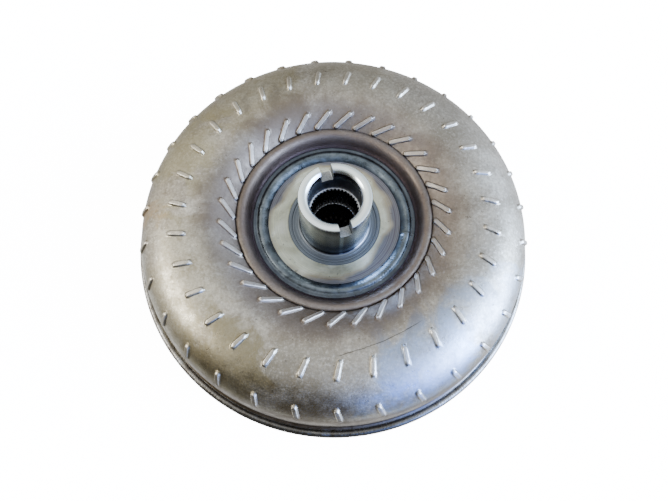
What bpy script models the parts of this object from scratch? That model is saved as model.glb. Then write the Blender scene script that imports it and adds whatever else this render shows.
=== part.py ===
"""Lock-up torque converter, built piece by piece.

Metres, +Z up. The origin is on the shaft axis, level with the drive lugs' faces, and the hub points up.
"""

import math

import bmesh
import bpy
from mathutils import Vector

# Fits
SEAT = 0.0003  # gap left between pieces that touch
RUNNING_FIT = 0.0004  # radial gap between a shaft and what turns or slides on it
BLADE_GAP = 0.0015  # from the blades' open edges to the middle plane of the torus
OVERSHOOT = 0.01  # how far a cutter runs past the faces it opens
TRIM = 0.0001  # takes a joined block's sides off its neighbour's planes

# Facets round a full turn
LARGE_ROUND = 40
HUB_ROUND = 32
DISC_ROUND = 24
SMALL_ROUND = 20
PIN_ROUND = 8
RIVET_ROUND = 6

# Impeller shell
SHELL_PLATE = 0.0035
SHELL_CONE = 0.0094  # width of the cone between the hub's flange and the foot of the collar
COLLAR_WIDTH = 0.0085
COLLAR_RISE = 0.0012
CROWN_REACH = 0.024  # from the crease beside the collar out to the crown
CROWN_RISE = 0.0203  # crown above the hub's flange face
DOME_REACH = 0.0394  # from the crown out to the wall
DOME_POWER = 2.3
SHOULDER_HEIGHT = 0.0093  # shoulder above the seam
INNER_CURVE = 0.035
# Shares of the collar's width and rise, from its foot over the crest to the crease
COLLAR_SHAPE = ((0.35, -1.0), (0.6, 1.0), (0.85, 0.8))
LEDGE_WIDTH = 0.0017
LEDGE_HEIGHT = 0.0030
LEDGE_FILLET = 0.0024
SPIGOT_DEPTH = 0.006

# Blades and the embossed seats that hold them
IMPELLER_BLADES = 31
TURBINE_BLADES = 29
BLADE_PLATE = 0.0012
SEAT_WIDTH = 0.0034
SEAT_RISE = 0.0013
SEAT_HIP = 0.18  # share of a seat's length that slopes down at each end
# Ends of one blade's three seats from the hub outwards, each with its azimuth in degrees. The place is
# a share of the way from the crown in to the crease (below 0) or out to the wall.
SEAT_SHARES = (
    (-0.9625, 10.96),
    (-0.596, 2.05),
    (0.14, -4.64),
    (0.388, -6.04),
    (0.774, -6.05),
    (0.926, -4.71),
)
OUTLET_AZIMUTH = -2.0
CORE_LEAN = 0.6  # share of the shell edge's azimuth that the core edge keeps
# Where each section of a blade meets the guide ring, in degrees round its oval
IMPELLER_CORE_ANGLES = (125, 105, 80, 50, 12)
TURBINE_CORE_ANGLES = (12, 50, 85, 115)
TURBINE_AZIMUTHS = (0.0, 5.0, 10.0, 7.0)

# Guide rings in the core of the torus
CORE_OFFSET = 0.0089  # from the crown out to the middle of the core
CORE_HALF_WIDTH = 0.012
CORE_HALF_HEIGHT = 0.0105
CORE_PLATE = 0.0015

# Hub
HUB_WALL = 0.00365
HUB_BORE_LIP = 0.0019  # how far the bore's upper part stands in over the race's collar
HUB_REACH = 0.038  # from the flange's face up to the hub's end
HUB_CHAMFER = 0.0008
HUB_LEAD_IN = 0.0016
HUB_FLANGE_WIDTH = 0.0107  # from the thrust bearing's rim out to the shell's opening
HUB_FLANGE_PLATE = 0.0042
HUB_FLANGE_SLOPE = 0.161
HUB_NECK_WIDTH = 0.00425
HUB_STEP_WIDTH = 0.0037
HUB_STEP_HEIGHT = 0.0006
NOTCH_WIDTH = 0.0075
NOTCH_DEPTH = 0.010
NOTCH_AZIMUTH = -70.5
NOTCH_ROUND = 0.001

# Weld beads
HUB_WELD_OVERLAP = 0.0015  # how far the bead reaches over the hub's flange
HUB_WELD_WIDTH = 0.0102
HUB_WELD_RISE = 0.0022
HUB_WELD_CREST = 0.4  # share of the bead's half width that its flat crest takes
CLOSURE_WELD_RISE = 0.0017
CLOSURE_WELD_EDGE = 0.0005

# Front cover, pilot and lugs
COVER_PLATE = 0.005
COVER_WALL = 0.0045
COVER_CORNER = 0.014
DISH_RADIUS = 0.056
DISH_DEPTH = 0.003
COVER_HOLE = 0.017
PILOT_SHOULDER = 0.0025
PILOT_RECESS = 0.001
LUG_COUNT = 6
LUG_INSET = 0.001  # from the cover's corner in to the lugs
LUG_LENGTH = 0.034
LUG_WIDTH = 0.024
LUG_HEIGHT = 0.0097
LUG_THREAD = 0.00425
LUG_ROUND = 0.004

# Lock-up clutch
CLUTCH_TRAVEL = 0.001
LINING_PLATE = 0.0012
LINING_WIDTH = 0.019
LINING_INSET = 0.002
PISTON_PLATE = 0.0025
PISTON_CLEARANCE = 0.0085  # from the piston's rim out to the cover's wall
PISTON_LIP = 0.010
PISTON_COLLAR = 0.010

# Torsional damper
RETAINER_PLATE = 0.0015
SPRING_COUNT = 4
SPRING_INSET = 0.013  # from the piston's rim in to the springs' middle line
SPRING_DIAMETER = 0.0108
SPRING_WIRE = 0.0022
SPRING_LENGTH = 0.026
SPRING_TURNS = 4.0
RETAINER_WEB_INSET = 0.004  # from the turbine hub's flange out to where the web starts to slope
RETAINER_WEB_GAP = 0.0021  # from the web's outer end to the claw ring
RETAINER_DROP = 0.0025  # from the hub's flange down to the retainer's pilot
EAR_COUNT = 6
EAR_WIDTH = 0.012
CLAW_PLATE = 0.0025
CLAW_WIDTH = 0.005
CLAW_RING_WIDTH = 0.012

# Turbine
TURBINE_PLATE = 0.002
TURBINE_CLEARANCE = 0.001  # between the turbine's rim and the impeller shell
TURBINE_DEPTH = 0.026
TURBINE_SHOULDER = 0.004
TURBINE_CURVE = 0.033
TURBINE_LINING_RISE = 0.0113
SEAM_DROP = 0.0115
TURBINE_HUB_WALL = 0.0104
TURBINE_BOSS_WIDTH = 0.010
TURBINE_BOSS_HEIGHT = 0.0038
TURBINE_FLANGE_WIDTH = 0.012
TURBINE_FLANGE_PLATE = 0.0045
INPUT_SPLINE_DEPTH = 0.0011
INPUT_SPLINE_INSET = 0.0003  # between the spline's root and the race's bore
INPUT_SPLINE_TEETH = 24
RIVET_COUNT = 6
RIVET_SHANK = 0.0024
RIVET_HEAD = 0.0042
RIVET_HEAD_HEIGHT = 0.0016
WASHER_PLATE = 0.002
WASHER_INSET = 0.0002
SEAL_GROOVE_HEIGHT = 0.0045
SEAL_WIDTH = 0.0018
SEAL_DEPTH = 0.0022

# Stator and its one-way clutch
STATOR_BLADES = 15
STATOR_HUB_WALL = 0.0105
STATOR_CLEARANCE = 0.0015  # between the stator's outer ring and the guide rings
STATOR_RING_PLATE = 0.0022
STATOR_BLADE_THICKNESS = 0.0042
# Blade section from its lower nose to its thin upper edge, in thicknesses across and shares of its height
STATOR_SECTION = ((0.0, 0.0), (1.0, 0.2), (0.8, 0.55), (-1.1, 1.0), (-0.2, 0.4))
STATOR_SWELL = (0.8, 1.15)  # how the section grows from the blade's foot to its outer end
CAM_WALL = 0.0091
CAM_LAND_GAP = 0.0012  # between the race and the cam ring's lands
CAM_POCKET_GAP = 0.0006  # room left over a roller where its ramp starts
CAM_RAMP = 0.0010
CAM_WIDTH = 0.0125
# Shares of a pitch at which a pocket's wall, ramp and land begin
POCKET_WALLS = (-0.34, 0.36)
POCKET_LANDS = (-0.36, 0.38)
RAMP_ENDS = (-0.12, 0.12)
ROLLER_COUNT = 8
ROLLER_RADIUS = 0.0030
ROLLER_FIT = 0.00015
ROLLER_SHARE = -0.12  # where a roller rests, as a share of the pitch
LEAF_SHARES = (0.0, 0.1, 0.2)  # the foot, top and tip of a cage leaf, as shares of the pitch
RACE_BORE = 0.0139
RACE_WALL = 0.0161
RACE_HEIGHT = 0.0143
RACE_SPLINE_LAND = 0.0006  # from the bore out to the teeth's tips
RACE_SPLINE_DEPTH = 0.0009
RACE_SPLINE_TEETH = 40
SPACE_SHARE = 0.4  # shares of a spline's pitch taken by the space and by one flank
FLANK_SHARE = 0.15
RACE_COLLAR_PLATE = 0.0022
RACE_COLLAR_DEPTH = 0.0213
RACE_LEDGE_DROP = 0.0202
CAGE_PLATE = 0.0008
SIDE_PLATE = 0.0016
SNAP_RING_PLATE = 0.0013
SNAP_RING_WIDTH = 0.003
SNAP_RING_GAP = 24.0
STATOR_LIP = 0.0036

# Thrust bearings
BEARING_HEIGHT = 0.0026
BEARING_WIDTH = 0.011
BEARING_OVERHANG = 0.0025  # how far a bearing's rim stands out past the race
NEEDLE_COUNT = 10
NEEDLE_SHARE = 0.28  # share of the pitch that a needle takes
CAGE_SHARE = 0.6  # share of the pitch that the thin cage between two needles takes
CAGE_HEIGHT = 0.44  # share of the bearing's height

# Heights above the lug faces, worked up from the cover to the hub
cover_face = LUG_HEIGHT + SEAT
cover_inside = cover_face + COVER_PLATE
dish_face = cover_face + DISH_DEPTH
dish_inside = cover_inside + DISH_DEPTH
lining_bottom = cover_inside + CLUTCH_TRAVEL + SEAT
piston_bottom = lining_bottom + LINING_PLATE + SEAT
piston_top = piston_bottom + PISTON_PLATE
retainer_bottom = piston_top + SEAT
retainer_top = retainer_bottom + RETAINER_PLATE
spring_height = retainer_top + SEAT + SPRING_DIAMETER / 2
turbine_lowest = spring_height + SPRING_DIAMETER / 2 + SEAT
turbine_floor = turbine_lowest + TURBINE_PLATE
middle = turbine_floor + TURBINE_DEPTH
seam = middle - SEAM_DROP
turbine_lining_top = turbine_floor + TURBINE_LINING_RISE
turbine_flange_top = turbine_lining_top - TURBINE_PLATE - SEAT
turbine_hub_top = turbine_flange_top + TURBINE_BOSS_HEIGHT
washer_bottom = dish_inside + SEAT
turbine_hub_bottom = washer_bottom + WASHER_PLATE + SEAT
front_bearing_bottom = turbine_hub_top + SEAT
race_bottom = front_bearing_bottom + BEARING_HEIGHT + SEAT
race_top = race_bottom + RACE_HEIGHT
rear_bearing_bottom = race_top + SEAT
flange_under = rear_bearing_bottom + BEARING_HEIGHT + SEAT
flange_face = flange_under + HUB_FLANGE_PLATE
crown_top = flange_face + CROWN_RISE
hub_end = flange_face + HUB_REACH
race_collar_top = hub_end - RACE_COLLAR_DEPTH
race_ledge = race_collar_top - RACE_LEDGE_DROP

# Radii, worked out from the shaft to the cover's wall
race_spline_tip = RACE_BORE + RACE_SPLINE_LAND
race_spline_root = race_spline_tip + RACE_SPLINE_DEPTH
race_collar_radius = race_spline_root + RACE_COLLAR_PLATE
race_radius = RACE_BORE + RACE_WALL
bearing_outer = race_radius + BEARING_OVERHANG
bearing_inner = bearing_outer - BEARING_WIDTH
collar_clearance = race_collar_radius + RUNNING_FIT
hub_bore = race_collar_radius - HUB_BORE_LIP
hub_radius = collar_clearance + HUB_WALL
hub_neck_radius = hub_radius + HUB_NECK_WIDTH
hub_step_radius = hub_neck_radius + HUB_STEP_WIDTH
hub_flange_radius = bearing_outer + HUB_FLANGE_WIDTH
shell_opening = hub_flange_radius + SEAT
hub_weld_inner = hub_flange_radius - HUB_WELD_OVERLAP
hub_weld_outer = hub_weld_inner + HUB_WELD_WIDTH
collar_foot = hub_flange_radius + SHELL_CONE
collar_radius = collar_foot + COLLAR_WIDTH
crown_radius = collar_radius + CROWN_REACH
core_radius = crown_radius + CORE_OFFSET
wall_radius = crown_radius + DOME_REACH
ledge_radius = wall_radius + LEDGE_WIDTH
lip_inner = ledge_radius + SEAT
cover_radius = lip_inner + COVER_WALL
lug_circle = cover_radius - COVER_CORNER - LUG_INSET - LUG_WIDTH / 2
pilot_radius = COVER_HOLE + PILOT_SHOULDER
input_spline_root = RACE_BORE - INPUT_SPLINE_INSET
input_spline_tip = input_spline_root - INPUT_SPLINE_DEPTH
turbine_hub_radius = input_spline_root + TURBINE_HUB_WALL
turbine_boss_radius = turbine_hub_radius + TURBINE_BOSS_WIDTH
rivet_circle = turbine_boss_radius + TURBINE_FLANGE_WIDTH / 2
turbine_flange_radius = turbine_boss_radius + TURBINE_FLANGE_WIDTH
washer_outer = turbine_hub_radius - WASHER_INSET
turbine_wall = wall_radius - SHELL_PLATE - TURBINE_CLEARANCE - TURBINE_PLATE
piston_bore = turbine_hub_radius + RUNNING_FIT
piston_radius = lip_inner - PISTON_CLEARANCE
lining_outer = piston_radius - LINING_INSET
lining_inner = lining_outer - LINING_WIDTH
spring_circle = piston_radius - SPRING_INSET
claw_ring_inner = crown_radius - CLAW_RING_WIDTH / 2
claw_ring_outer = crown_radius + CLAW_RING_WIDTH / 2
web_start = turbine_flange_radius + RETAINER_WEB_INSET
web_end = claw_ring_inner - RETAINER_WEB_GAP
roller_circle = race_radius + ROLLER_FIT + ROLLER_RADIUS
cam_land = race_radius + CAM_LAND_GAP
cam_pocket = race_radius + 2 * ROLLER_RADIUS + CAM_POCKET_GAP
cam_outer = cam_pocket + CAM_RAMP + CAM_WALL
stator_ring_outer = core_radius - CORE_HALF_WIDTH - STATOR_CLEARANCE
stator_flow_outer = stator_ring_outer - STATOR_RING_PLATE
seat_ends = [
    (crown_radius + share * (DOME_REACH if share > 0 else CROWN_REACH), azimuth)
    for share, azimuth in SEAT_SHARES
]
cam_seat = cam_outer + SEAT
stator_flow_inner = cam_seat + STATOR_HUB_WALL
stator_top = (race_top + race_bottom + CAM_WIDTH) / 2 + SEAT + STATOR_LIP
cam_top = stator_top - STATOR_LIP - SEAT
cam_bottom = cam_top - CAM_WIDTH
side_plate_top = cam_bottom - SEAT
snap_ring_top = side_plate_top - SIDE_PLATE - SEAT
stator_bottom = snap_ring_top - SNAP_RING_PLATE - 2 * SEAT


def clear_scene():
    for item in list(bpy.data.objects):
        bpy.data.objects.remove(item, do_unlink=True)


def new_collection(name):
    collection = bpy.data.collections.new(name)
    bpy.context.scene.collection.children.link(collection)
    return collection


def finish_material(name, colour, roughness, metallic):
    material = bpy.data.materials.new(name)
    material.use_nodes = True
    shader = material.node_tree.nodes["Principled BSDF"]
    shader.inputs["Base Color"].default_value = (*colour, 1.0)
    shader.inputs["Roughness"].default_value = roughness
    shader.inputs["Metallic"].default_value = metallic
    material.diffuse_color = (*colour, 1.0)
    return material


def place(name, mesh, material, parent=None):
    """An object of this mesh among the parts, on the shaft axis."""
    mesh.materials.clear()
    mesh.materials.append(material)
    item = bpy.data.objects.new(name, mesh)
    parts.objects.link(item)
    item.parent = parent
    return item


def helper(name, mesh):
    """An object that cuts or joins a part and is no part itself."""
    item = bpy.data.objects.new(name, mesh)
    item.hide_render = True
    item.display_type = "WIRE"
    cutters.objects.link(item)
    return item


def boolean(item, other, operation):
    modifier = item.modifiers.new(f"{operation} {other.name}", "BOOLEAN")
    modifier.operation = operation
    modifier.object = other


def profile_mesh(name, profile, closed=True):
    """The edges of a profile of (radius, height) points, standing at +X."""
    corners = [(radius, 0.0, height) for radius, height in profile]
    edges = [(i, i + 1) for i in range(len(corners) - 1)]
    if closed:
        edges.append((len(corners) - 1, 0))
    mesh = bpy.data.meshes.new(name)
    mesh.from_pydata(corners, edges, [])
    return mesh


def spin(item, facets):
    screw = item.modifiers.new("Turned", "SCREW")
    screw.steps = facets
    screw.render_steps = facets
    screw.use_merge_vertices = True
    screw.merge_threshold = 0.00001
    screw.use_smooth_shade = True


def turned(name, profile, facets, material, parent=None, closed=True):
    """A profile that runs down its outer side, turned round the shaft axis."""
    item = place(name, profile_mesh(name, profile, closed), material, parent)
    spin(item, facets)
    return item


def arc(centre, radius, start, end, steps):
    """Points of a circular arc in a profile, from one angle in degrees to another."""
    angles = [math.radians(start + (end - start) * i / steps) for i in range(steps + 1)]
    return [(centre[0] + radius * math.cos(a), centre[1] + radius * math.sin(a)) for a in angles]


def polar(radius, degrees, height=0.0):
    angle = math.radians(degrees)
    return Vector((radius * math.cos(angle), radius * math.sin(angle), height))


def prism(name, outline, bottom, top):
    """A flat outline of (x, y) points, counter-clockwise, pushed up from one height to another."""
    shape = bmesh.new()
    floor = shape.faces.new([shape.verts.new((x, y, bottom)) for x, y in outline])
    raised = bmesh.ops.extrude_face_region(shape, geom=[floor])
    corners = [part for part in raised["geom"] if isinstance(part, bmesh.types.BMVert)]
    bmesh.ops.translate(shape, verts=corners, vec=(0.0, 0.0, top - bottom))
    bmesh.ops.recalc_face_normals(shape, faces=shape.faces)
    mesh = bpy.data.meshes.new(name)
    shape.to_mesh(mesh)
    shape.free()
    return mesh


def merged(name, pieces):
    """Several meshes as one mesh."""
    shape = bmesh.new()
    for piece in pieces:
        shape.from_mesh(piece)
        bpy.data.meshes.remove(piece)
    mesh = bpy.data.meshes.new(name)
    shape.to_mesh(mesh)
    shape.free()
    return mesh


def tilted_box(name, centre, size, degrees):
    """A block of (outward, sideways, up) size, centred at (radius, sideways, height) and turned."""
    half_out, half_side, half_up = (side / 2 for side in size)
    radius, sideways, height = centre
    direction = polar(1.0, degrees)
    across = polar(1.0, degrees + 90)
    points = []
    for out, side in ((-1, -1), (1, -1), (1, 1), (-1, 1)):
        points.append(direction * (radius + out * half_out) + across * (sideways + side * half_side))
    return prism(name, [(p.x, p.y) for p in points], height - half_up, height + half_up)


def hulls(name, groups):
    """One mesh holding the convex hull of each group of points."""
    shape = bmesh.new()
    for group in groups:
        verts = [shape.verts.new(point) for point in group]
        bmesh.ops.convex_hull(shape, input=verts)
    bmesh.ops.recalc_face_normals(shape, faces=shape.faces)
    mesh = bpy.data.meshes.new(name)
    shape.to_mesh(mesh)
    shape.free()
    return mesh


def lofts(name, rows):
    """One mesh of closed lofts: each row holds sections that have the same number of corners."""
    shape = bmesh.new()
    for sections in rows:
        loops = [[shape.verts.new(point) for point in section] for section in sections]
        for first, second in zip(loops, loops[1:]):
            for i in range(len(first)):
                j = (i + 1) % len(first)
                shape.faces.new((first[i], first[j], second[j], second[i]))
        shape.faces.new(list(reversed(loops[0])))
        shape.faces.new(loops[-1])
    bmesh.ops.recalc_face_normals(shape, faces=shape.faces)
    mesh = bpy.data.meshes.new(name)
    shape.to_mesh(mesh)
    shape.free()
    return mesh


def ring_loft(name, loops):
    """A loft whose last section joins its first."""
    shape = bmesh.new()
    rings = [[shape.verts.new(point) for point in loop] for loop in loops]
    for first, second in zip(rings, rings[1:] + rings[:1]):
        for i in range(len(first)):
            j = (i + 1) % len(first)
            shape.faces.new((first[i], first[j], second[j], second[i]))
    bmesh.ops.recalc_face_normals(shape, faces=shape.faces)
    mesh = bpy.data.meshes.new(name)
    shape.to_mesh(mesh)
    shape.free()
    return mesh


def quarter_dome(crown, wall, shoulder, top, power, steps):
    """Superellipse points from the wall at shoulder height to the crown."""
    points = []
    for i in range(steps + 1):
        angle = math.pi / 2 * i / steps
        out = math.cos(angle) ** (2 / power) if i < steps else 0.0
        up = math.sin(angle) ** (2 / power)
        points.append((crown + (wall - crown) * out, shoulder + (top - shoulder) * up))
    return points


def facet_sag(radius, facets):
    """How far a facet's middle lies inside the circle through its corners."""
    return radius * (1 - math.cos(math.pi / facets))


def impeller_contour(depth):
    """The impeller shell's surface this deep below its outer face, from the wall over the crown inwards."""
    shoulder = seam + SHOULDER_HEIGHT
    top = crown_top - depth
    dome = quarter_dome(crown_radius, wall_radius - depth, shoulder, top, DOME_POWER, 4)
    reach = math.degrees(math.acos((crown_radius - collar_radius) / INNER_CURVE))
    centre = (crown_radius, crown_top - INNER_CURVE)
    return dome + arc(centre, INNER_CURVE - depth, 90, 180 - reach, 2)[1:]


def impeller_height(radius, depth):
    """Height of that same surface at a radius."""
    if radius > crown_radius:
        rise = crown_top - depth - seam - SHOULDER_HEIGHT
        share = (radius - crown_radius) / (wall_radius - depth - crown_radius)
        return seam + SHOULDER_HEIGHT + rise * (1 - share**DOME_POWER) ** (1 / DOME_POWER)
    reach = INNER_CURVE - depth
    return crown_top - INNER_CURVE + math.sqrt(reach**2 - (crown_radius - radius) ** 2)


def turbine_contour(depth):
    """The turbine shell's flow face, or a face this deep below it, from the wall over the floor inwards."""
    bottom = TURBINE_DEPTH + depth
    dome = quarter_dome(crown_radius, turbine_wall + depth, TURBINE_SHOULDER, bottom, DOME_POWER, 4)
    reach = TURBINE_CURVE + depth
    slope = math.degrees(math.asin((TURBINE_CURVE - TURBINE_LINING_RISE + depth) / reach))
    centre = (crown_radius, turbine_floor + TURBINE_CURVE)
    lining = arc(centre, reach, 270, 180 + slope, 2)
    return [(radius, middle - height) for radius, height in dome] + lining[1:]


def blade_azimuth(radius):
    """Azimuth of the blade line at a radius, straight between the ends of its seats."""
    for (near, start), (far, end) in zip(seat_ends, seat_ends[1:]):
        if radius <= far:
            return start + (end - start) * (radius - near) / (far - near)
    return OUTLET_AZIMUTH


def cone_height(radius):
    """Height of the hub flange's conical face and of the shell's edge beside it."""
    return flange_face + (radius - hub_step_radius) * HUB_FLANGE_SLOPE


def embossed_seats():
    """The raised ribs over the blades' tabs, three to a blade."""
    groups = []
    for row in range(0, len(seat_ends), 2):
        (near, near_azimuth), (far, far_azimuth) = seat_ends[row : row + 2]
        for blade in range(IMPELLER_BLADES):
            turn = 360 * blade / IMPELLER_BLADES
            inner = polar(near, near_azimuth + turn, impeller_height(near, 0))
            outer = polar(far, far_azimuth + turn, impeller_height(far, 0))
            along = outer - inner
            radial = polar(1.0, (near_azimuth + far_azimuth) / 2 + turn)
            slope = along.normalized()
            sideways = slope.cross(Vector((0, 0, 1)).cross(radial).cross(slope)).normalized()
            face = sideways.cross(slope).normalized()
            if face.z < 0:
                face = -face
            sideways = slope.cross(face).normalized()
            sunk = -face * SEAT_RISE
            flank = sideways * SEAT_WIDTH / 2
            group = []
            for end, hip in ((inner, SEAT_HIP), (outer, 1 - SEAT_HIP)):
                group += [end + sunk + flank, end + sunk - flank, inner + along * hip + face * SEAT_RISE]
            groups.append(group)
    return hulls("seat_ribs", groups)


def make_impeller_shell(parent):
    """Pressed half torus with a rounded collar round the hub and three embossed seats over each blade."""
    ledge_top = seam + LEDGE_HEIGHT
    spigot = seam - SPIGOT_DEPTH
    outer = impeller_contour(0)
    inner = impeller_contour(SHELL_PLATE)
    crease = outer[-1][1]
    foot = cone_height(collar_foot)
    lower_foot = collar_foot - SHELL_PLATE / 3
    profile = list(reversed(outer))
    profile += [
        (wall_radius, ledge_top + LEDGE_FILLET),
        (ledge_radius, ledge_top),
        (ledge_radius, spigot),
        (wall_radius - SHELL_PLATE, spigot),
    ]
    profile += inner
    profile += [
        (lower_foot, foot - SHELL_PLATE),
        (shell_opening, cone_height(shell_opening) - SHELL_PLATE),
        (shell_opening, cone_height(shell_opening)),
        (collar_foot, foot),
    ]
    profile += [(collar_foot + COLLAR_WIDTH * out, crease + COLLAR_RISE * up) for out, up in COLLAR_SHAPE]
    shell = turned("impeller_shell", profile, LARGE_ROUND, dome_steel, parent)
    boolean(shell, helper("seat_ribs", embossed_seats()), "UNION")
    return shell


def make_hub(parent):
    """Turned hub: tube with two drive notches, and the flange that the shell is welded to."""
    profile = [
        (hub_radius - HUB_CHAMFER, hub_end),
        (hub_radius, hub_end - HUB_CHAMFER),
        (hub_radius, flange_face - HUB_STEP_HEIGHT),
        (hub_neck_radius, flange_face - HUB_STEP_HEIGHT),
        (hub_neck_radius + HUB_STEP_HEIGHT, flange_face),
        (hub_step_radius, flange_face),
        (hub_flange_radius, cone_height(hub_flange_radius)),
        (hub_flange_radius, cone_height(hub_flange_radius) - SHELL_PLATE),
        (bearing_outer + HUB_FLANGE_PLATE, flange_under),
        (collar_clearance, flange_under),
        (collar_clearance, race_collar_top + RUNNING_FIT),
        (hub_bore, race_collar_top + RUNNING_FIT),
        (hub_bore, hub_end - HUB_LEAD_IN),
        (hub_bore + HUB_LEAD_IN, hub_end),
    ]
    hub = turned("impeller_hub", profile, HUB_ROUND, machined_steel, parent)
    size = (4 * hub_radius, NOTCH_WIDTH, 2 * NOTCH_DEPTH)
    notch = helper("notch_cutter", tilted_box("notch_cutter", (0, 0, hub_end), size, NOTCH_AZIMUTH))
    rounding = notch.modifiers.new("Rounded floor", "BEVEL")
    rounding.width = NOTCH_ROUND
    rounding.segments = 2
    boolean(hub, notch, "DIFFERENCE")
    return hub


def make_weld_beads(parent):
    """The bead between hub and shell, and the fillet between shell and cover."""
    half = (hub_weld_outer - hub_weld_inner) / 2
    middle_radius = hub_weld_inner + half
    bead = []
    for share in (-1.0, -HUB_WELD_CREST, HUB_WELD_CREST, 1.0):
        radius = middle_radius + share * half
        rise = HUB_WELD_RISE if abs(share) < 1 else 0.0
        bead.append((radius, cone_height(radius) + SEAT + rise))
    turned("hub_weld_bead", bead, LARGE_ROUND, weld_steel, parent)
    inside = ledge_radius + SEAT
    foot = seam + SEAT
    fillet = [
        (inside, seam + LEDGE_HEIGHT),
        ((inside + cover_radius) / 2, foot + CLOSURE_WELD_RISE),
        (cover_radius, foot + CLOSURE_WELD_EDGE),
        (cover_radius, foot),
        (inside, foot),
    ]
    turned("closure_weld_bead", fillet, LARGE_ROUND, weld_steel, parent)


def make_cover(parent):
    """Pressed pan: flat clutch face, dished middle, straight wall that takes the shell's spigot."""
    corner = (cover_radius - COVER_CORNER, cover_face + COVER_CORNER)
    inner_corner = COVER_CORNER - COVER_WALL
    profile = [(cover_radius, seam)]
    profile += arc(corner, COVER_CORNER, 0, -90, 2)
    profile += [
        (DISH_RADIUS + DISH_DEPTH, cover_face),
        (DISH_RADIUS - DISH_DEPTH, dish_face),
        (COVER_HOLE, dish_face),
        (COVER_HOLE, dish_inside),
        (DISH_RADIUS - DISH_DEPTH, dish_inside),
        (DISH_RADIUS + DISH_DEPTH, cover_inside),
    ]
    profile += arc((corner[0], cover_inside + inner_corner), inner_corner, -90, 0, 2)
    profile.append((lip_inner, seam))
    return turned("front_cover", profile, LARGE_ROUND, cover_steel, parent)


def make_pilot(parent):
    """Centring boss with a spigot in the cover's middle hole and a centre drilling."""
    spigot = COVER_HOLE - SEAT
    chamfer = pilot_radius / 12
    profile = [
        (0, dish_inside - SEAT),
        (spigot, dish_inside - SEAT),
        (spigot, dish_face - SEAT),
        (pilot_radius, dish_face - SEAT),
        (pilot_radius, PILOT_RECESS + chamfer),
        (pilot_radius - chamfer, PILOT_RECESS),
        (pilot_radius / 4, PILOT_RECESS),
        (0, PILOT_RECESS + pilot_radius / 4),
    ]
    return turned("pilot_boss", profile, SMALL_ROUND, machined_steel, parent, closed=False)


def make_lugs(parent):
    """Blocks welded to the cover, each tapped for a flexplate bolt."""
    block = tilted_box("drive_lug", (lug_circle, 0, LUG_HEIGHT / 2), (LUG_WIDTH, LUG_LENGTH, LUG_HEIGHT), 0)
    shape = bmesh.new()
    shape.from_mesh(block)
    upright = [edge for edge in shape.edges if abs(edge.verts[0].co.z - edge.verts[1].co.z) > LUG_HEIGHT / 2]
    bmesh.ops.bevel(shape, geom=upright, offset=LUG_ROUND, segments=1, profile=0.5, affect="EDGES")
    shape.to_mesh(block)
    shape.free()
    thread = [polar(LUG_THREAD, 360 * i / PIN_ROUND) for i in range(PIN_ROUND)]
    outline = [(lug_circle + point.x, point.y) for point in thread]
    drill = helper("lug_drill", prism("lug_drill", outline, -OVERSHOOT, LUG_HEIGHT + OVERSHOOT))
    for index in range(LUG_COUNT):
        lug = place(f"drive_lug_{index + 1}", block, lug_steel, parent)
        lug.rotation_euler.z = 2 * math.pi * index / LUG_COUNT
        turned_drill = drill.copy()
        turned_drill.rotation_euler.z = lug.rotation_euler.z
        cutters.objects.link(turned_drill)
        boolean(lug, turned_drill, "DIFFERENCE")
    bpy.data.objects.remove(drill)


def core_profile(sign):
    """Half of the guide ring's hollow section: above the middle plane for sign 1, below it for -1."""
    edge = math.degrees(math.asin(BLADE_GAP / CORE_HALF_HEIGHT))

    def oval(inset, steps, start, end):
        turns = [math.radians(start + (end - start) * i / steps) for i in range(steps + 1)]
        width = CORE_HALF_WIDTH - inset
        height = CORE_HALF_HEIGHT - inset
        return [(core_radius + width * math.cos(a), middle + sign * height * math.sin(a)) for a in turns]

    outer = oval(0, 4, 180 - edge, edge)
    inner = oval(CORE_PLATE, 2, edge, 180 - edge)
    return outer + inner if sign > 0 else list(reversed(outer + inner))


def blade_sections(edges, turn):
    """Sheet sections of one blade: an edge is (shell point, core point, shell azimuth, core azimuth)."""
    sections = []
    for (shell_radius, shell_height), (core_radius, core_height), shell_azimuth, core_azimuth in edges:
        half_shell = math.degrees(BLADE_PLATE / 2 / shell_radius)
        half_core = math.degrees(BLADE_PLATE / 2 / core_radius)
        sections.append(
            [
                polar(shell_radius, shell_azimuth + turn - half_shell, shell_height),
                polar(shell_radius, shell_azimuth + turn + half_shell, shell_height),
                polar(core_radius, core_azimuth + turn + half_core, core_height),
                polar(core_radius, core_azimuth + turn - half_core, core_height),
            ]
        )
    return sections


def core_point(degrees, sign):
    """A point half-way through the guide ring's plate."""
    angle = math.radians(degrees)
    width = CORE_HALF_WIDTH - CORE_PLATE / 2
    height = CORE_HALF_HEIGHT - CORE_PLATE / 2
    return (core_radius + width * math.cos(angle), middle + sign * height * math.sin(angle))


def make_impeller_blades(parent):
    """Curved sheet blades brazed to their guide ring, each under its three seats in the shell."""
    depth = SHELL_PLATE + SEAT + facet_sag(wall_radius, LARGE_ROUND)
    contour = impeller_contour(depth)
    outlet = (contour[0][0] - BLADE_PLATE, middle + BLADE_GAP)
    shell_edge = [contour[-1], contour[-2], contour[-3], contour[2], outlet]
    edges = []
    for point, core_angle in zip(shell_edge, IMPELLER_CORE_ANGLES):
        azimuth = OUTLET_AZIMUTH if point is outlet else blade_azimuth(point[0])
        edges.append((point, core_point(core_angle, 1), azimuth, azimuth * CORE_LEAN))
    rows = [blade_sections(edges, 360 * blade / IMPELLER_BLADES) for blade in range(IMPELLER_BLADES)]
    ring = turned("impeller_blades", core_profile(1), IMPELLER_BLADES, blade_steel, parent)
    boolean(ring, helper("impeller_blade_sheets", lofts("impeller_blade_sheets", rows)), "UNION")
    return ring


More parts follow.
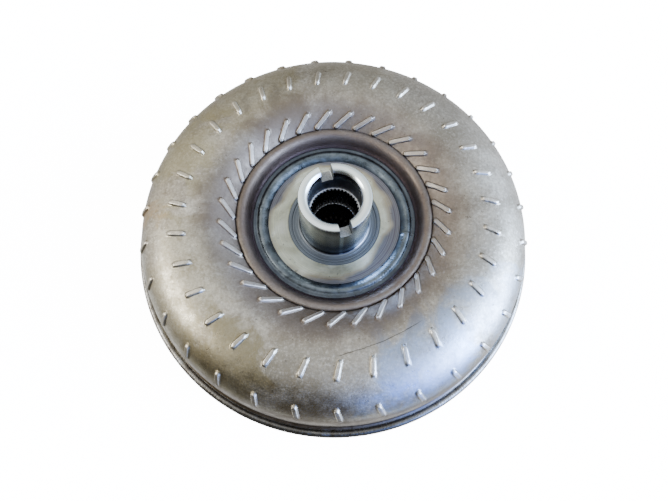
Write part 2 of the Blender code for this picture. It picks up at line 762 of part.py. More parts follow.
def make_turbine_shell(parent):
    """Pressed half torus, riveted by its inner flange to the turbine hub."""
    flow = turbine_contour(0)
    back = turbine_contour(TURBINE_PLATE)
    lip = middle - BLADE_GAP
    opening = turbine_boss_radius + SEAT
    profile = [(turbine_wall + TURBINE_PLATE, lip)] + back[:-1]
    profile += [
        (flow[-1][0] - TURBINE_PLATE, turbine_lining_top - TURBINE_PLATE),
        (opening, turbine_lining_top - TURBINE_PLATE),
        (opening, turbine_lining_top),
    ]
    profile += list(reversed(flow))
    profile.append((turbine_wall, lip))
    shell = turned("turbine_shell", profile, DISC_ROUND, plain_steel, parent)
    outline = [polar(RIVET_SHANK + SEAT, 360 * i / RIVET_ROUND) for i in range(RIVET_ROUND)]
    low = turbine_flange_top - OVERSHOOT
    high = turbine_lining_top + OVERSHOOT
    holes = []
    for index in range(RIVET_COUNT):
        centre = polar(rivet_circle, 360 * index / RIVET_COUNT)
        hole = [(centre.x + point.x, centre.y + point.y) for point in outline]
        holes.append(prism("rivet_holes", hole, low, high))
    drill = helper("rivet_holes", merged("rivet_holes", holes))
    boolean(shell, drill, "DIFFERENCE")
    return drill


def make_turbine_blades(parent):
    """Curved sheet blades brazed to the turbine's guide ring."""
    contour = turbine_contour(-SEAT - facet_sag(turbine_wall, DISC_ROUND))
    inlet = (contour[0][0], middle - BLADE_GAP)
    shell_edge = (inlet, contour[2], contour[4], contour[6])
    edges = []
    for point, core_angle, azimuth in zip(shell_edge, TURBINE_CORE_ANGLES, TURBINE_AZIMUTHS):
        edges.append((point, core_point(core_angle, -1), azimuth, azimuth * CORE_LEAN))
    rows = [blade_sections(edges, 360 * blade / TURBINE_BLADES) for blade in range(TURBINE_BLADES)]
    ring = turned("turbine_blades", core_profile(-1), TURBINE_BLADES, blade_steel, parent)
    boolean(ring, helper("turbine_blade_sheets", lofts("turbine_blade_sheets", rows)), "UNION")
    return ring


def spline_outline(tip, root, teeth):
    """Outline of a bore with straight-sided teeth that point inwards."""
    pitch = 360 / teeth
    shape = ((root, 0.0), (root, SPACE_SHARE), (tip, SPACE_SHARE + FLANK_SHARE), (tip, 1 - FLANK_SHARE))
    points = []
    for tooth in range(teeth):
        for radius, share in shape:
            point = polar(radius, (tooth + share) * pitch)
            points.append((point.x, point.y))
    return points


def make_turbine_hub(parent, rivet_drill):
    """Splined hub for the gearbox input shaft, with the piston's bearing surface and seal groove."""
    groove_top = turbine_hub_bottom + SEAL_GROOVE_HEIGHT + SEAL_WIDTH + SEAT
    groove_bottom = turbine_hub_bottom + SEAL_GROOVE_HEIGHT - SEAT
    groove_floor = turbine_hub_radius - SEAL_DEPTH - SEAT
    flange_bottom = turbine_flange_top - TURBINE_FLANGE_PLATE
    profile = [
        (0, turbine_hub_top),
        (turbine_boss_radius, turbine_hub_top),
        (turbine_boss_radius, turbine_flange_top),
        (turbine_flange_radius, turbine_flange_top),
        (turbine_flange_radius, flange_bottom),
        (turbine_hub_radius, flange_bottom),
        (turbine_hub_radius, groove_top),
        (groove_floor, groove_top),
        (groove_floor, groove_bottom),
        (turbine_hub_radius, groove_bottom),
        (turbine_hub_radius, turbine_hub_bottom),
        (0, turbine_hub_bottom),
    ]
    hub = turned("turbine_hub", profile, SMALL_ROUND, machined_steel, parent, closed=False)
    outline = spline_outline(input_spline_tip, input_spline_root, INPUT_SPLINE_TEETH)
    broach = prism("input_spline", outline, turbine_hub_bottom - OVERSHOOT, turbine_hub_top + OVERSHOOT)
    boolean(hub, helper("input_spline", broach), "DIFFERENCE")
    boolean(hub, rivet_drill, "DIFFERENCE")
    return hub


def make_rivets(parent):
    """Rivets through the turbine shell's flange and the hub flange."""
    flange_bottom = turbine_flange_top - TURBINE_FLANGE_PLATE
    top = turbine_lining_top + SEAT
    bottom = flange_bottom - SEAT
    profile = [
        (0, top + RIVET_HEAD_HEIGHT),
        (RIVET_HEAD / 2, top + RIVET_HEAD_HEIGHT),
        (RIVET_HEAD, top),
        (RIVET_SHANK, top),
        (RIVET_SHANK, bottom),
        (RIVET_HEAD, bottom),
        (RIVET_HEAD / 2, bottom - RIVET_HEAD_HEIGHT),
        (0, bottom - RIVET_HEAD_HEIGHT),
    ]
    for index in range(RIVET_COUNT):
        rivet = turned(f"turbine_rivet_{index + 1}", profile, RIVET_ROUND, plain_steel, parent, closed=False)
        rivet.location = polar(rivet_circle, 360 * index / RIVET_COUNT)


def make_claw_ring(parent):
    """Ring welded to the turbine shell's back, with a claw at each end of every damper spring."""
    top = turbine_lowest - SEAT
    bottom = top - TURBINE_PLATE
    profile = [
        (claw_ring_outer, top),
        (claw_ring_outer, bottom),
        (claw_ring_inner, bottom),
        (claw_ring_inner, top),
    ]
    ring = turned("damper_claw_ring", profile, DISC_ROUND, plain_steel, parent)
    tip = spring_circle + CLAW_WIDTH / 2
    reach = tip - crown_radius
    depth = top - spring_height + CLAW_WIDTH / 2
    arm_size = (reach, CLAW_PLATE, TURBINE_PLATE - 2 * TRIM)
    finger_size = (CLAW_WIDTH, CLAW_PLATE - TRIM, depth - 4 * TRIM)
    arms = []
    fingers = []
    for index in range(SPRING_COUNT):
        azimuth = 360 * (index + 0.5) / SPRING_COUNT
        for side in (-1, 1):
            sideways = side * (SPRING_LENGTH / 2 + SEAT + CLAW_PLATE / 2)
            arm_centre = (tip - reach / 2, sideways, top - TURBINE_PLATE / 2)
            finger_centre = (spring_circle, sideways, top - depth / 2)
            arms.append(tilted_box("claw_arms", arm_centre, arm_size, azimuth))
            fingers.append(tilted_box("claw_fingers", finger_centre, finger_size, azimuth))
    boolean(ring, helper("claw_arms", merged("claw_arms", arms)), "UNION")
    boolean(ring, helper("claw_fingers", merged("claw_fingers", fingers)), "UNION")
    return ring


def make_piston(parent):
    """Pressed disc that slides on the turbine hub; its notched lip drives the retainer's ears."""
    collar = piston_bore + PISTON_PLATE
    rise = DISH_DEPTH + SEAT
    high_bottom = piston_bottom + rise
    high_top = piston_top + rise
    inner_bend = DISH_RADIUS - DISH_DEPTH
    outer_bend = DISH_RADIUS + 2 * DISH_DEPTH + SEAT
    profile = [
        (piston_radius, piston_top + PISTON_LIP),
        (piston_radius, piston_bottom + PISTON_PLATE / 2),
        (piston_radius - PISTON_PLATE / 2, piston_bottom),
        (outer_bend, piston_bottom),
        (inner_bend, high_bottom),
        (piston_bore, high_bottom),
        (piston_bore, high_top + PISTON_COLLAR),
        (collar, high_top + PISTON_COLLAR),
        (collar, high_top),
        (inner_bend, high_top),
        (outer_bend, piston_top),
        (piston_radius - PISTON_PLATE, piston_top),
        (piston_radius - PISTON_PLATE, piston_top + PISTON_LIP),
    ]
    piston = turned("lockup_piston", profile, DISC_ROUND, plain_steel, parent)
    size = (OVERSHOOT, EAR_WIDTH + 2 * SEAT, 2 * PISTON_LIP - 2 * SEAT)
    centre = (piston_radius, 0, piston_top + PISTON_LIP)
    notches = [tilted_box("lip_notches", centre, size, 360 * i / EAR_COUNT) for i in range(EAR_COUNT)]
    boolean(piston, helper("lip_notches", merged("lip_notches", notches)), "DIFFERENCE")
    return piston


def make_lining(parent):
    """Paper friction ring bonded to the piston, facing the cover."""
    top = piston_bottom - SEAT
    profile = [
        (lining_outer, top),
        (lining_outer, lining_bottom),
        (lining_inner, lining_bottom),
        (lining_inner, top),
    ]
    return turned("friction_lining", profile, DISC_ROUND, friction_paper, parent)


def make_seal_ring(parent):
    """Square ring in the turbine hub's groove, against the piston's bore."""
    bottom = turbine_hub_bottom + SEAL_GROOVE_HEIGHT
    outer = turbine_hub_radius + RUNNING_FIT / 4
    inner = turbine_hub_radius - SEAL_DEPTH
    profile = [(outer, bottom + SEAL_WIDTH), (outer, bottom), (inner, bottom), (inner, bottom + SEAL_WIDTH)]
    return turned("piston_seal_ring", profile, SMALL_ROUND, seal_black, parent)


def make_retainer(parent):
    """Drive plate that carries the springs: a channel at its rim and a formed web to the turbine hub."""
    spring_corner = math.hypot(spring_circle + SPRING_DIAMETER / 2, SPRING_LENGTH / 2)
    wall_inner = spring_corner + SEAT + facet_sag(spring_circle + SPRING_DIAMETER, DISC_ROUND)
    wall_outer = wall_inner + RETAINER_PLATE
    pilot_top = turbine_flange_top - TURBINE_FLANGE_PLATE - RETAINER_DROP
    pilot_bottom = pilot_top - RETAINER_PLATE
    wall_top = spring_height + SPRING_DIAMETER / 4
    profile = [
        (wall_outer, wall_top),
        (wall_outer, retainer_bottom),
        (web_end, retainer_bottom),
        (web_start, pilot_bottom),
        (piston_bore, pilot_bottom),
        (piston_bore, pilot_top),
        (web_start + RETAINER_PLATE / 2, pilot_top),
        (web_end + RETAINER_PLATE / 2, retainer_top),
        (wall_inner, retainer_top),
        (wall_inner, wall_top),
    ]
    retainer = turned("spring_retainer", profile, DISC_ROUND, plain_steel, parent)
    reach = piston_radius - wall_inner
    ear_bottom = piston_top + 2 * CLUTCH_TRAVEL
    ear_top = ear_bottom + 2 * RETAINER_PLATE
    centre = (wall_inner + reach / 2, 0, (ear_bottom + ear_top) / 2)
    size = (reach - 2 * SEAT, EAR_WIDTH, ear_top - ear_bottom)
    ears = [tilted_box("ears", centre, size, 360 * i / EAR_COUNT) for i in range(EAR_COUNT)]
    boolean(retainer, helper("ears", merged("ears", ears)), "UNION")
    gap = CLAW_WIDTH + 4 * SEAT
    stop_width = (SPRING_DIAMETER - gap) / 2
    stop_size = (stop_width, RETAINER_PLATE, spring_height - retainer_bottom)
    stops = []
    for index in range(SPRING_COUNT):
        azimuth = 360 * (index + 0.5) / SPRING_COUNT
        for side in (-1, 1):
            sideways = side * (SPRING_LENGTH / 2 + SEAT + RETAINER_PLATE / 2)
            for across in (-1, 1):
                radius = spring_circle + across * (gap + stop_width) / 2
                stop_centre = (radius, sideways, (retainer_bottom + spring_height) / 2 + SEAT)
                stops.append(tilted_box("stops", stop_centre, stop_size, azimuth))
    boolean(retainer, helper("stops", merged("stops", stops)), "UNION")
    return retainer


def make_springs(parent):
    """Coil springs that lie along the retainer's channel, one to each pair of claws."""
    coil = (SPRING_DIAMETER - SPRING_WIRE) / 2
    per_turn = 6
    count = round(SPRING_TURNS * per_turn)
    run = SPRING_LENGTH - SPRING_WIRE
    for index in range(SPRING_COUNT):
        curve = bpy.data.curves.new(f"damper_spring_{index + 1}", "CURVE")
        curve.dimensions = "3D"
        curve.bevel_depth = SPRING_WIRE / 2
        curve.bevel_resolution = 0
        curve.use_fill_caps = True
        line = curve.splines.new("POLY")
        line.points.add(count)
        for i, point in enumerate(line.points):
            angle = 2 * math.pi * i / per_turn
            out = spring_circle + coil * math.cos(angle)
            along = run * (i / count - 0.5)
            point.co = (out, along, spring_height + coil * math.sin(angle), 1.0)
        curve.materials.append(spring_steel)
        spring = bpy.data.objects.new(curve.name, curve)
        parts.objects.link(spring)
        spring.parent = parent
        spring.rotation_euler.z = 2 * math.pi * (index + 0.5) / SPRING_COUNT


def make_stator_wheel(parent):
    """Cast wheel: hub that holds the one-way clutch, curved blades, outer ring."""
    lip_bore = cam_pocket + CAM_RAMP + SEAT
    groove = cam_seat + SNAP_RING_WIDTH / 2
    hub_profile = [
        (stator_flow_inner, stator_top),
        (stator_flow_inner, stator_bottom),
        (cam_seat, stator_bottom),
        (cam_seat, snap_ring_top - SNAP_RING_PLATE - SEAT),
        (groove, snap_ring_top - SNAP_RING_PLATE - SEAT),
        (groove, snap_ring_top + SEAT),
        (cam_seat, snap_ring_top + SEAT),
        (cam_seat, stator_top - STATOR_LIP),
        (lip_bore, stator_top - STATOR_LIP),
        (lip_bore, stator_top),
    ]
    wheel = turned("stator_wheel", hub_profile, DISC_ROUND, cast_aluminium, parent)
    ring_top = stator_top - STATOR_CLEARANCE
    ring_bottom = stator_bottom + 3 * STATOR_CLEARANCE
    ring_profile = [
        (stator_ring_outer, ring_top),
        (stator_ring_outer, ring_bottom),
        (stator_flow_outer, ring_bottom),
        (stator_flow_outer, ring_top),
    ]
    ring = helper("stator_ring", profile_mesh("stator_ring", ring_profile))
    spin(ring, DISC_ROUND)
    low = ring_bottom + STATOR_CLEARANCE / 3
    high = ring_top - STATOR_CLEARANCE / 3
    ends = (stator_flow_inner - STATOR_RING_PLATE / 2, stator_flow_outer + STATOR_RING_PLATE / 2)
    rows = []
    for blade in range(STATOR_BLADES):
        turn = 360 * blade / STATOR_BLADES
        sections = []
        for radius, swell in zip(ends, STATOR_SWELL):
            thickness = math.degrees(swell * STATOR_BLADE_THICKNESS / radius)
            section = []
            for across, up in STATOR_SECTION:
                section.append(polar(radius, turn + across * thickness, low + up * (high - low)))
            sections.append(section)
        rows.append(sections)
    boolean(wheel, helper("stator_vanes", lofts("stator_vanes", rows)), "UNION")
    boolean(wheel, ring, "UNION")
    return wheel


def pocket_outline():
    """Inner outline of the cam ring: lands between pockets whose floors ramp inwards."""
    pitch = 360 / ROLLER_COUNT
    ramp = (
        (cam_land, POCKET_LANDS[0]),
        (cam_pocket, POCKET_WALLS[0]),
        (cam_pocket + CAM_RAMP / 2, RAMP_ENDS[0]),
        (cam_pocket + CAM_RAMP, RAMP_ENDS[1]),
        (cam_pocket + CAM_RAMP, POCKET_WALLS[1]),
        (cam_land, POCKET_LANDS[1]),
    )
    points = []
    for pocket in range(ROLLER_COUNT):
        for radius, share in ramp:
            point = polar(radius, (pocket + share) * pitch)
            points.append((point.x, point.y))
    return points


def make_one_way_clutch(parent):
    """Cam ring pressed in the wheel, rollers in its pockets, and the cage whose leaves push them along."""
    profile = [(0, cam_top), (cam_outer, cam_top), (cam_outer, cam_bottom), (0, cam_bottom)]
    cam = turned("clutch_cam_ring", profile, DISC_ROUND, hard_steel, parent, closed=False)
    broach = prism("cam_broach", pocket_outline(), cam_bottom - OVERSHOOT, cam_top + OVERSHOOT)
    boolean(cam, helper("cam_broach", broach), "DIFFERENCE")
    pitch = 360 / ROLLER_COUNT
    roller_top = cam_top - SEAT
    roller_bottom = cam_bottom + SEAT
    roller_profile = [
        (0, roller_top),
        (ROLLER_RADIUS, roller_top),
        (ROLLER_RADIUS, roller_bottom),
        (0, roller_bottom),
    ]
    for index in range(ROLLER_COUNT):
        name = f"clutch_roller_{index + 1}"
        roller = turned(name, roller_profile, PIN_ROUND, hard_steel, parent, closed=False)
        roller.location = polar(roller_circle, (index + ROLLER_SHARE) * pitch)
    inner = race_radius + 2 * RUNNING_FIT
    outer = cam_pocket - SEAT
    bottom = cam_top + SEAT
    cage_profile = [
        (outer, bottom + CAGE_PLATE),
        (outer, bottom),
        (inner, bottom),
        (inner, bottom + CAGE_PLATE),
    ]
    cage = turned("clutch_spring_cage", cage_profile, SMALL_ROUND, spring_steel, parent)
    leaf_radii = (inner + CAGE_PLATE, outer - 2 * CAGE_PLATE, inner + CAGE_PLATE)
    leaves = []
    for index in range(ROLLER_COUNT):
        path = [(radius, (index + share) * pitch) for radius, share in zip(leaf_radii, LEAF_SHARES)]
        near = [polar(radius, azimuth) for radius, azimuth in path]
        far = [polar(radius + CAGE_PLATE, azimuth) for radius, azimuth in reversed(path)]
        outline = [(point.x, point.y) for point in near + far]
        leaves.append(prism("leaves", outline, cam_bottom + CAGE_PLATE, bottom + CAGE_PLATE / 2))
    boolean(cage, helper("leaves", merged("leaves", leaves)), "UNION")


def make_stator_retainers(parent):
    """Plate that closes the clutch on the turbine side, and the snap ring that holds it."""
    bore = bearing_outer + RUNNING_FIT
    plate = [
        (cam_outer, side_plate_top),
        (cam_outer, side_plate_top - SIDE_PLATE),
        (bore, side_plate_top - SIDE_PLATE),
        (bore, side_plate_top),
    ]
    turned("clutch_side_plate", plate, DISC_ROUND, plain_steel, parent)
    outer = cam_seat + SNAP_RING_WIDTH / 2 - SEAT - facet_sag(cam_seat, DISC_ROUND)
    inner = outer - SNAP_RING_WIDTH
    section = ((outer, 0), (outer, -SNAP_RING_PLATE), (inner, -SNAP_RING_PLATE), (inner, 0))
    steps = SMALL_ROUND - 2
    turn = (360 - SNAP_RING_GAP) / steps
    loops = []
    for i in range(steps + 1):
        azimuth = SNAP_RING_GAP / 2 + i * turn
        loops.append([polar(radius, azimuth, snap_ring_top + up) for radius, up in section])
    return place("stator_snap_ring", lofts("stator_snap_ring", [loops]), spring_steel, parent)


def make_inner_race(parent):
    """Race of the one-way clutch, with the splined collar seen down the hub's bore."""
    profile = [
        (RACE_BORE, race_collar_top),
        (race_collar_radius, race_collar_top),
        (race_collar_radius, race_top),
        (race_radius, race_top),
        (race_radius, race_bottom),
        (RACE_BORE, race_bottom),
    ]
    race = turned("clutch_inner_race", profile, SMALL_ROUND, hard_steel, parent)
    outline = spline_outline(race_spline_tip, race_spline_root, RACE_SPLINE_TEETH)
    broach = prism("race_spline", outline, race_ledge, race_collar_top + OVERSHOOT)
    boolean(race, helper("race_spline", broach), "DIFFERENCE")
    return race


def make_thrust_bearing(name, bottom, parent):
    """Thrust bearing: flat cage with radial needles, one body round the shaft."""
    centre = bottom + BEARING_HEIGHT / 2
    pitch = 360 / NEEDLE_COUNT
    needle = NEEDLE_SHARE / 2
    cage = (1 - CAGE_SHARE) / 2
    loops = []
    for index in range(NEEDLE_COUNT):
        for share, height in ((-needle, 1.0), (needle, 1.0), (cage, CAGE_HEIGHT), (1 - cage, CAGE_HEIGHT)):
            up = height * BEARING_HEIGHT / 2
            rim = ((bearing_outer, up), (bearing_outer, -up), (bearing_inner, -up), (bearing_inner, up))
            loops.append([polar(radius, (index + share) * pitch, centre + offset) for radius, offset in rim])
    return place(name, ring_loft(name, loops), hard_steel, parent)


def make_thrust_washer(parent):
    """Washer between the turbine hub and the cover."""
    top = washer_bottom + WASHER_PLATE
    inner = COVER_HOLE + 2 * SEAT
    profile = [(washer_outer, top), (washer_outer, washer_bottom), (inner, washer_bottom), (inner, top)]
    return turned("cover_thrust_washer", profile, SMALL_ROUND, friction_paper, parent)


def settle():
    """Applies each part's modifiers and shades its round faces smooth."""
    graph = bpy.context.evaluated_depsgraph_get()
    settled = {}
    for item in parts.objects:
        if item.type == "MESH":
            settled[item.name] = bpy.data.meshes.new_from_object(item.evaluated_get(graph))
    for name, mesh in settled.items():
        item = parts.objects[name]
        item.modifiers.clear()
        item.data = mesh
        mesh.shade_smooth()
        mesh.set_sharp_from_angle(angle=math.radians(30))


def axis(name, parent=None):
    """An empty on the shaft axis that one moving group hangs from."""
    empty = bpy.data.objects.new(name, None)
    empty.empty_display_size = hub_end / 2
    parts.objects.link(empty)
    empty.parent = parent
    return empty


clear_scene()
parts = new_collection("torque_converter")
cutters = new_collection("cutters")

dome_steel = finish_material("dome_steel", (0.33, 0.31, 0.26), 0.38, 0.9)
cover_steel = finish_material("cover_steel", (0.25, 0.24, 0.22), 0.45, 0.9)
machined_steel = finish_material("machined_steel", (0.62, 0.62, 0.63), 0.25, 1.0)
weld_steel = finish_material("weld_steel", (0.30, 0.31, 0.34), 0.35, 0.9)
lug_steel = finish_material("lug_steel", (0.40, 0.39, 0.37), 0.4, 0.9)
plain_steel = finish_material("plain_steel", (0.42, 0.42, 0.42), 0.4, 0.9)
blade_steel = finish_material("blade_steel", (0.38, 0.37, 0.35), 0.4, 0.9)
hard_steel = finish_material("hard_steel", (0.55, 0.55, 0.56), 0.2, 1.0)
spring_steel = finish_material("spring_steel", (0.20, 0.21, 0.23), 0.35, 0.9)
cast_aluminium = finish_material("cast_aluminium", (0.66, 0.66, 0.64), 0.5, 0.9)
friction_paper = finish_material("friction_paper", (0.16, 0.10, 0.06), 0.9, 0.0)
seal_black = finish_material("seal_black", (0.02, 0.02, 0.02), 0.6, 0.0)

housing = axis("housing_axis")
turbine = axis("turbine_axis", housing)
damper = axis("damper_axis", turbine)
piston = axis("piston_axis", damper)
race_shaft = axis("race_axis", housing)
stator = axis("stator_axis", race_shaft)

make_impeller_shell(housing)
make_hub(housing)
make_weld_beads(housing)
make_cover(housing)
make_pilot(housing)
make_lugs(housing)
make_impeller_blades(housing)
make_thrust_washer(housing)
rivet_drill = make_turbine_shell(turbine)
make_turbine_blades(turbine)
make_turbine_hub(turbine, rivet_drill)
make_rivets(turbine)
make_claw_ring(turbine)
make_seal_ring(turbine)
make_retainer(damper)
make_springs(damper)
make_piston(piston)
make_lining(piston)
make_inner_race(race_shaft)
make_stator_wheel(stator)
make_one_way_clutch(stator)
make_stator_retainers(stator)
make_thrust_bearing("rear_thrust_bearing", rear_bearing_bottom, race_shaft)
make_thrust_bearing("front_thrust_bearing", front_bearing_bottom, race_shaft)
settle()
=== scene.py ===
import math

import bmesh
import bpy
from mathutils import Matrix, Vector, noise


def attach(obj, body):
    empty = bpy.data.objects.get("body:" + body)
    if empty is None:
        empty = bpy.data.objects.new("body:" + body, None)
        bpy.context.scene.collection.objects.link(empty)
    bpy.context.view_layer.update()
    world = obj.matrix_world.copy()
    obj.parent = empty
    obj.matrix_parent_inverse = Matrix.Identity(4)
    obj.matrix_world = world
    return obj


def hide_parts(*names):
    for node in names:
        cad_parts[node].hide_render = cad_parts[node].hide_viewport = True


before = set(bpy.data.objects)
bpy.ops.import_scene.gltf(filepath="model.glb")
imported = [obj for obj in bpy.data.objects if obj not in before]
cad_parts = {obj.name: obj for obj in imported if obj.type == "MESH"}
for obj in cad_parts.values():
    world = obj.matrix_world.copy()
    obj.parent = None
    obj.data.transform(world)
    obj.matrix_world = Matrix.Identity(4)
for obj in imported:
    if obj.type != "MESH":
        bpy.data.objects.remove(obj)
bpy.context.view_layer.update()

# Camera: a phone held close above the gearbox side of the converter, a little tipped and a little rolled.
# Its place comes from fitting the rim, the hub circles and the rib pitch in the photograph.
MM = 0.001
CAMERA_AIM = Vector((0.59, -11.76, 50.0)) * MM
CAMERA_DISTANCE = 343.1 * MM
CAMERA_ELEVATION = math.radians(71.14)
CAMERA_ROLL = math.radians(2.46)
FOCAL_LENGTH = 27.29
SENSOR_WIDTH = 36.0
NEAREST_SEEN = 10.0 * MM

back = Vector((0.0, -math.cos(CAMERA_ELEVATION), math.sin(CAMERA_ELEVATION)))
level = Vector((1.0, 0.0, 0.0))
upright = back.cross(level)
across = math.cos(CAMERA_ROLL) * level + math.sin(CAMERA_ROLL) * upright
above = back.cross(across)
camera = bpy.data.objects.new("camera", bpy.data.cameras.new("camera"))
camera.data.lens = FOCAL_LENGTH
camera.data.sensor_width = SENSOR_WIDTH
camera.data.clip_start = NEAREST_SEEN
camera.matrix_world = Matrix.Translation(CAMERA_AIM + back * CAMERA_DISTANCE) @ Matrix(
    (
        (across.x, above.x, back.x, 0.0),
        (across.y, above.y, back.y, 0.0),
        (across.z, above.z, back.z, 0.0),
        (0.0, 0.0, 0.0, 1.0),
    )
)
bpy.context.scene.collection.objects.link(camera)
bpy.context.scene.camera = camera


# Studio: a white light table in a bright room, with a window at the right and a pale wall at the left.
# The person behind the phone stands dark at the front. The steel mirrors the room but not the table.
TABLE_SIZE = 6.0
TABLE_GLOW = 14.0
# The table lies this far under the lugs, so that their faces don't share its plane, and is clear from below
TABLE_GAP = 0.2 * MM
# Elevation in degrees, colour and strength of the room, from below the table up to the ceiling
ROOM = (
    (-90, "#F2F4F4", 2.2),
    (-42, "#ECEEEE", 1.5),
    (-20, "#E2E0DC", 0.88),
    (30, "#DEDCD6", 0.62),
    (90, "#F0F2F4", 1.25),
)
# Azimuth and elevation, half angles of the core and of the soft edge, colour and strength
GLOWS = (
    (8, 12, 8, 70, "#D9E7FF", 1.9),  # far window's light
    (323, 18, 8, 40, "#5A8EFF", 5.4),  # blue sky
    (349, 19, 8, 34, "#BFD9FF", 26.0),  # window
    (172, 24, 10, 58, "#FFF8EC", 1.0),  # left wall
    (190, 32, 5, 17, "#FFFCF6", 13.0),  # left lamp
)
# The person: the same values, and the share of the room's light that is hidden
SHADE = (248, 0, 26, 60, "#5C5648", 0.8, 0.85)
LAMP_PLACE = (-0.35, 0.45, 1.3)
LAMP_SIZE = 0.9
LAMP_POWER = 1.2


def srgb(code, strength=1.0):
    """A hex colour as linear red, green, blue and alpha."""
    levels = [int(code[i : i + 2], 16) / 255 for i in (1, 3, 5)]
    return (*[strength * (v / 12.92 if v <= 0.04045 else ((v + 0.055) / 1.055) ** 2.4) for v in levels], 1.0)


def node(kind, inputs=None, **settings):
    """Adds a node to the tree at hand, with its settings and with a value or a link on each input named."""
    made = tree.nodes.new("ShaderNode" + kind)
    for name, value in settings.items():
        setattr(made, name, value)
    for name, value in (inputs or {}).items():
        socket = made.inputs[name]
        if isinstance(value, bpy.types.NodeSocket):
            tree.links.new(value, socket)
        else:
            socket.default_value = value
    return made


def mixed(share, first, second, kind="MIX"):
    """The output of a colour mix."""
    made = node("Mix", {"Factor": share, "A": first, "B": second}, data_type="RGBA", blend_type=kind)
    return made.outputs["Result"]


def span(value, low, high, start=0.0, end=1.0):
    """The value carried smoothly from one range to another and held at its ends."""
    made = node(
        "MapRange",
        {"Value": value, "From Min": low, "From Max": high, "To Min": start, "To Max": end},
        interpolation_type="SMOOTHSTEP",
    )
    return made.outputs["Result"]


white_table = bpy.data.materials.new("white_light_table")
white_table.use_nodes = True
tree = white_table.node_tree
tree.nodes.clear()
glowing = {
    "Base Color": srgb("#F4F4F2"),
    "Roughness": 0.9,
    "Specular IOR Level": 0.1,
    "Emission Color": srgb("#FFFFFF"),
    "Emission Strength": TABLE_GLOW,
}
above_table = node("BsdfPrincipled", glowing).outputs[0]
below_table = node("BsdfTransparent").outputs[0]
side = node("NewGeometry").outputs["Backfacing"]
seen = node("MixShader", {0: side, 1: above_table, 2: below_table}).outputs[0]
node("OutputMaterial", {"Surface": seen})
shape = bmesh.new()
bmesh.ops.create_grid(shape, x_segments=1, y_segments=1, size=TABLE_SIZE / 2)
bmesh.ops.translate(shape, vec=(0, 0, -TABLE_GAP), verts=shape.verts)
mesh = bpy.data.meshes.new("table")
shape.to_mesh(mesh)
shape.free()
mesh.materials.append(white_table)
table = bpy.data.objects.new("table", mesh)
table.visible_glossy = False
bpy.context.scene.collection.objects.link(table)

world = bpy.data.worlds.new("room")
bpy.context.scene.world = world
world.use_nodes = True
tree = world.node_tree
tree.nodes.clear()
sight = node("TexCoord").outputs["Generated"]
height = node("SeparateXYZ", {"Vector": sight}).outputs["Z"]
light = srgb(ROOM[0][1], ROOM[0][2])
for (low, *_), (high, code, strength) in zip(ROOM, ROOM[1:]):
    share = span(height, math.sin(math.radians(low)), math.sin(math.radians(high)))
    light = mixed(share, light, srgb(code, strength))


def vector_value(operation, *vectors):
    """The number that a vector operation gives."""
    return node("VectorMath", dict(enumerate(vectors)), operation=operation).outputs["Value"]


def towards(sight, azimuth, elevation, core, edge, strength=1.0):
    """How near one direction comes to another, from 0 at the edge's angle to the strength at the core's."""
    azimuth, elevation = math.radians(azimuth), math.radians(elevation)
    level = math.cos(elevation)
    axis = (level * math.cos(azimuth), level * math.sin(azimuth), math.sin(elevation))
    nearness = vector_value("DOT_PRODUCT", sight, axis)
    return span(nearness, math.cos(math.radians(edge)), math.cos(math.radians(core)), 0.0, strength)


*place, code, strength, hidden = SHADE
shaded = mixed(hidden, light, srgb(code, strength))
light = mixed(towards(sight, *place), light, shaded)
for *place, code, strength in GLOWS:
    light = mixed(towards(sight, *place), light, srgb(code, strength), "ADD")
room = node("Background", {"Color": light})
node("OutputWorld", {"Surface": room.outputs[0]})

lamp = bpy.data.lights.new("ceiling_lamp", "AREA")
lamp.shape = "DISK"
lamp.size = LAMP_SIZE
lamp.energy = LAMP_POWER
lamp.color = srgb("#FFF8EE")[:3]
holder = bpy.data.objects.new("ceiling_lamp", lamp)
holder.location = LAMP_PLACE
holder.rotation_mode = "QUATERNION"
holder.rotation_quaternion = holder.location.to_track_quat("Z", "Y")
bpy.context.scene.collection.objects.link(holder)


# Impeller shell: a half torus pressed from sheet steel, with a rolled collar round the hub opening.
# Three seats are embossed over each of its 31 blades, and the rim is stepped where the cover is welded on.
SEAM = 50.0
WALL = 124.5
SHEET = 3.5
CROWN = 85.1
CROWN_RISE = 43.5
SHOULDER_RISE = 9.3
DOME_POWER = 2.3
INNER_CURVE = 35.0
CREASE = 61.1
LEDGE = 126.2
LEDGE_RISE = 3.0
SPIGOT_DROP = 6.0
BLADES = 31
SEAT_HALF_WIDTH = 1.9
SEAT_FLANK = 0.9
SEAT_RISE = 1.35
# Corners of a drawing that lie nearer to each other than this are made one
MERGE_WITHIN = 0.002
# The round ends of a seat reach this share of its half width past the straight part
SEAT_END_SHARE = 0.7
# Radius and azimuth in degrees of both ends of one blade's three seats
SEATS = (((62.0, 10.96), (70.8, 2.05)), ((90.6, -4.64), (100.4, -6.04)), ((115.6, -6.05), (121.6, -4.71)))
COLLAR = (
    (60.95, 84.3), (60.5, 84.9), (59.7, 85.25), (58.7, 85.4), (57.6, 85.25), (56.6, 84.8), (55.7, 84.0),
    (54.9, 82.9), (54.2, 81.5), (53.6, 80.0), (53.1, 78.7), (52.5, 77.7), (51.7, 77.1), (50.4, 76.7),
    (47.0, 76.0), (44.0, 75.4),
)
# Places of the mesh columns across half a blade pitch, closest together where the seats' flanks fall
HALF_COLUMNS = (0.0, 0.10, 0.19, 0.26, 0.31, 0.35, 0.38, 0.40, 0.42, 0.438, 0.456, 0.475)


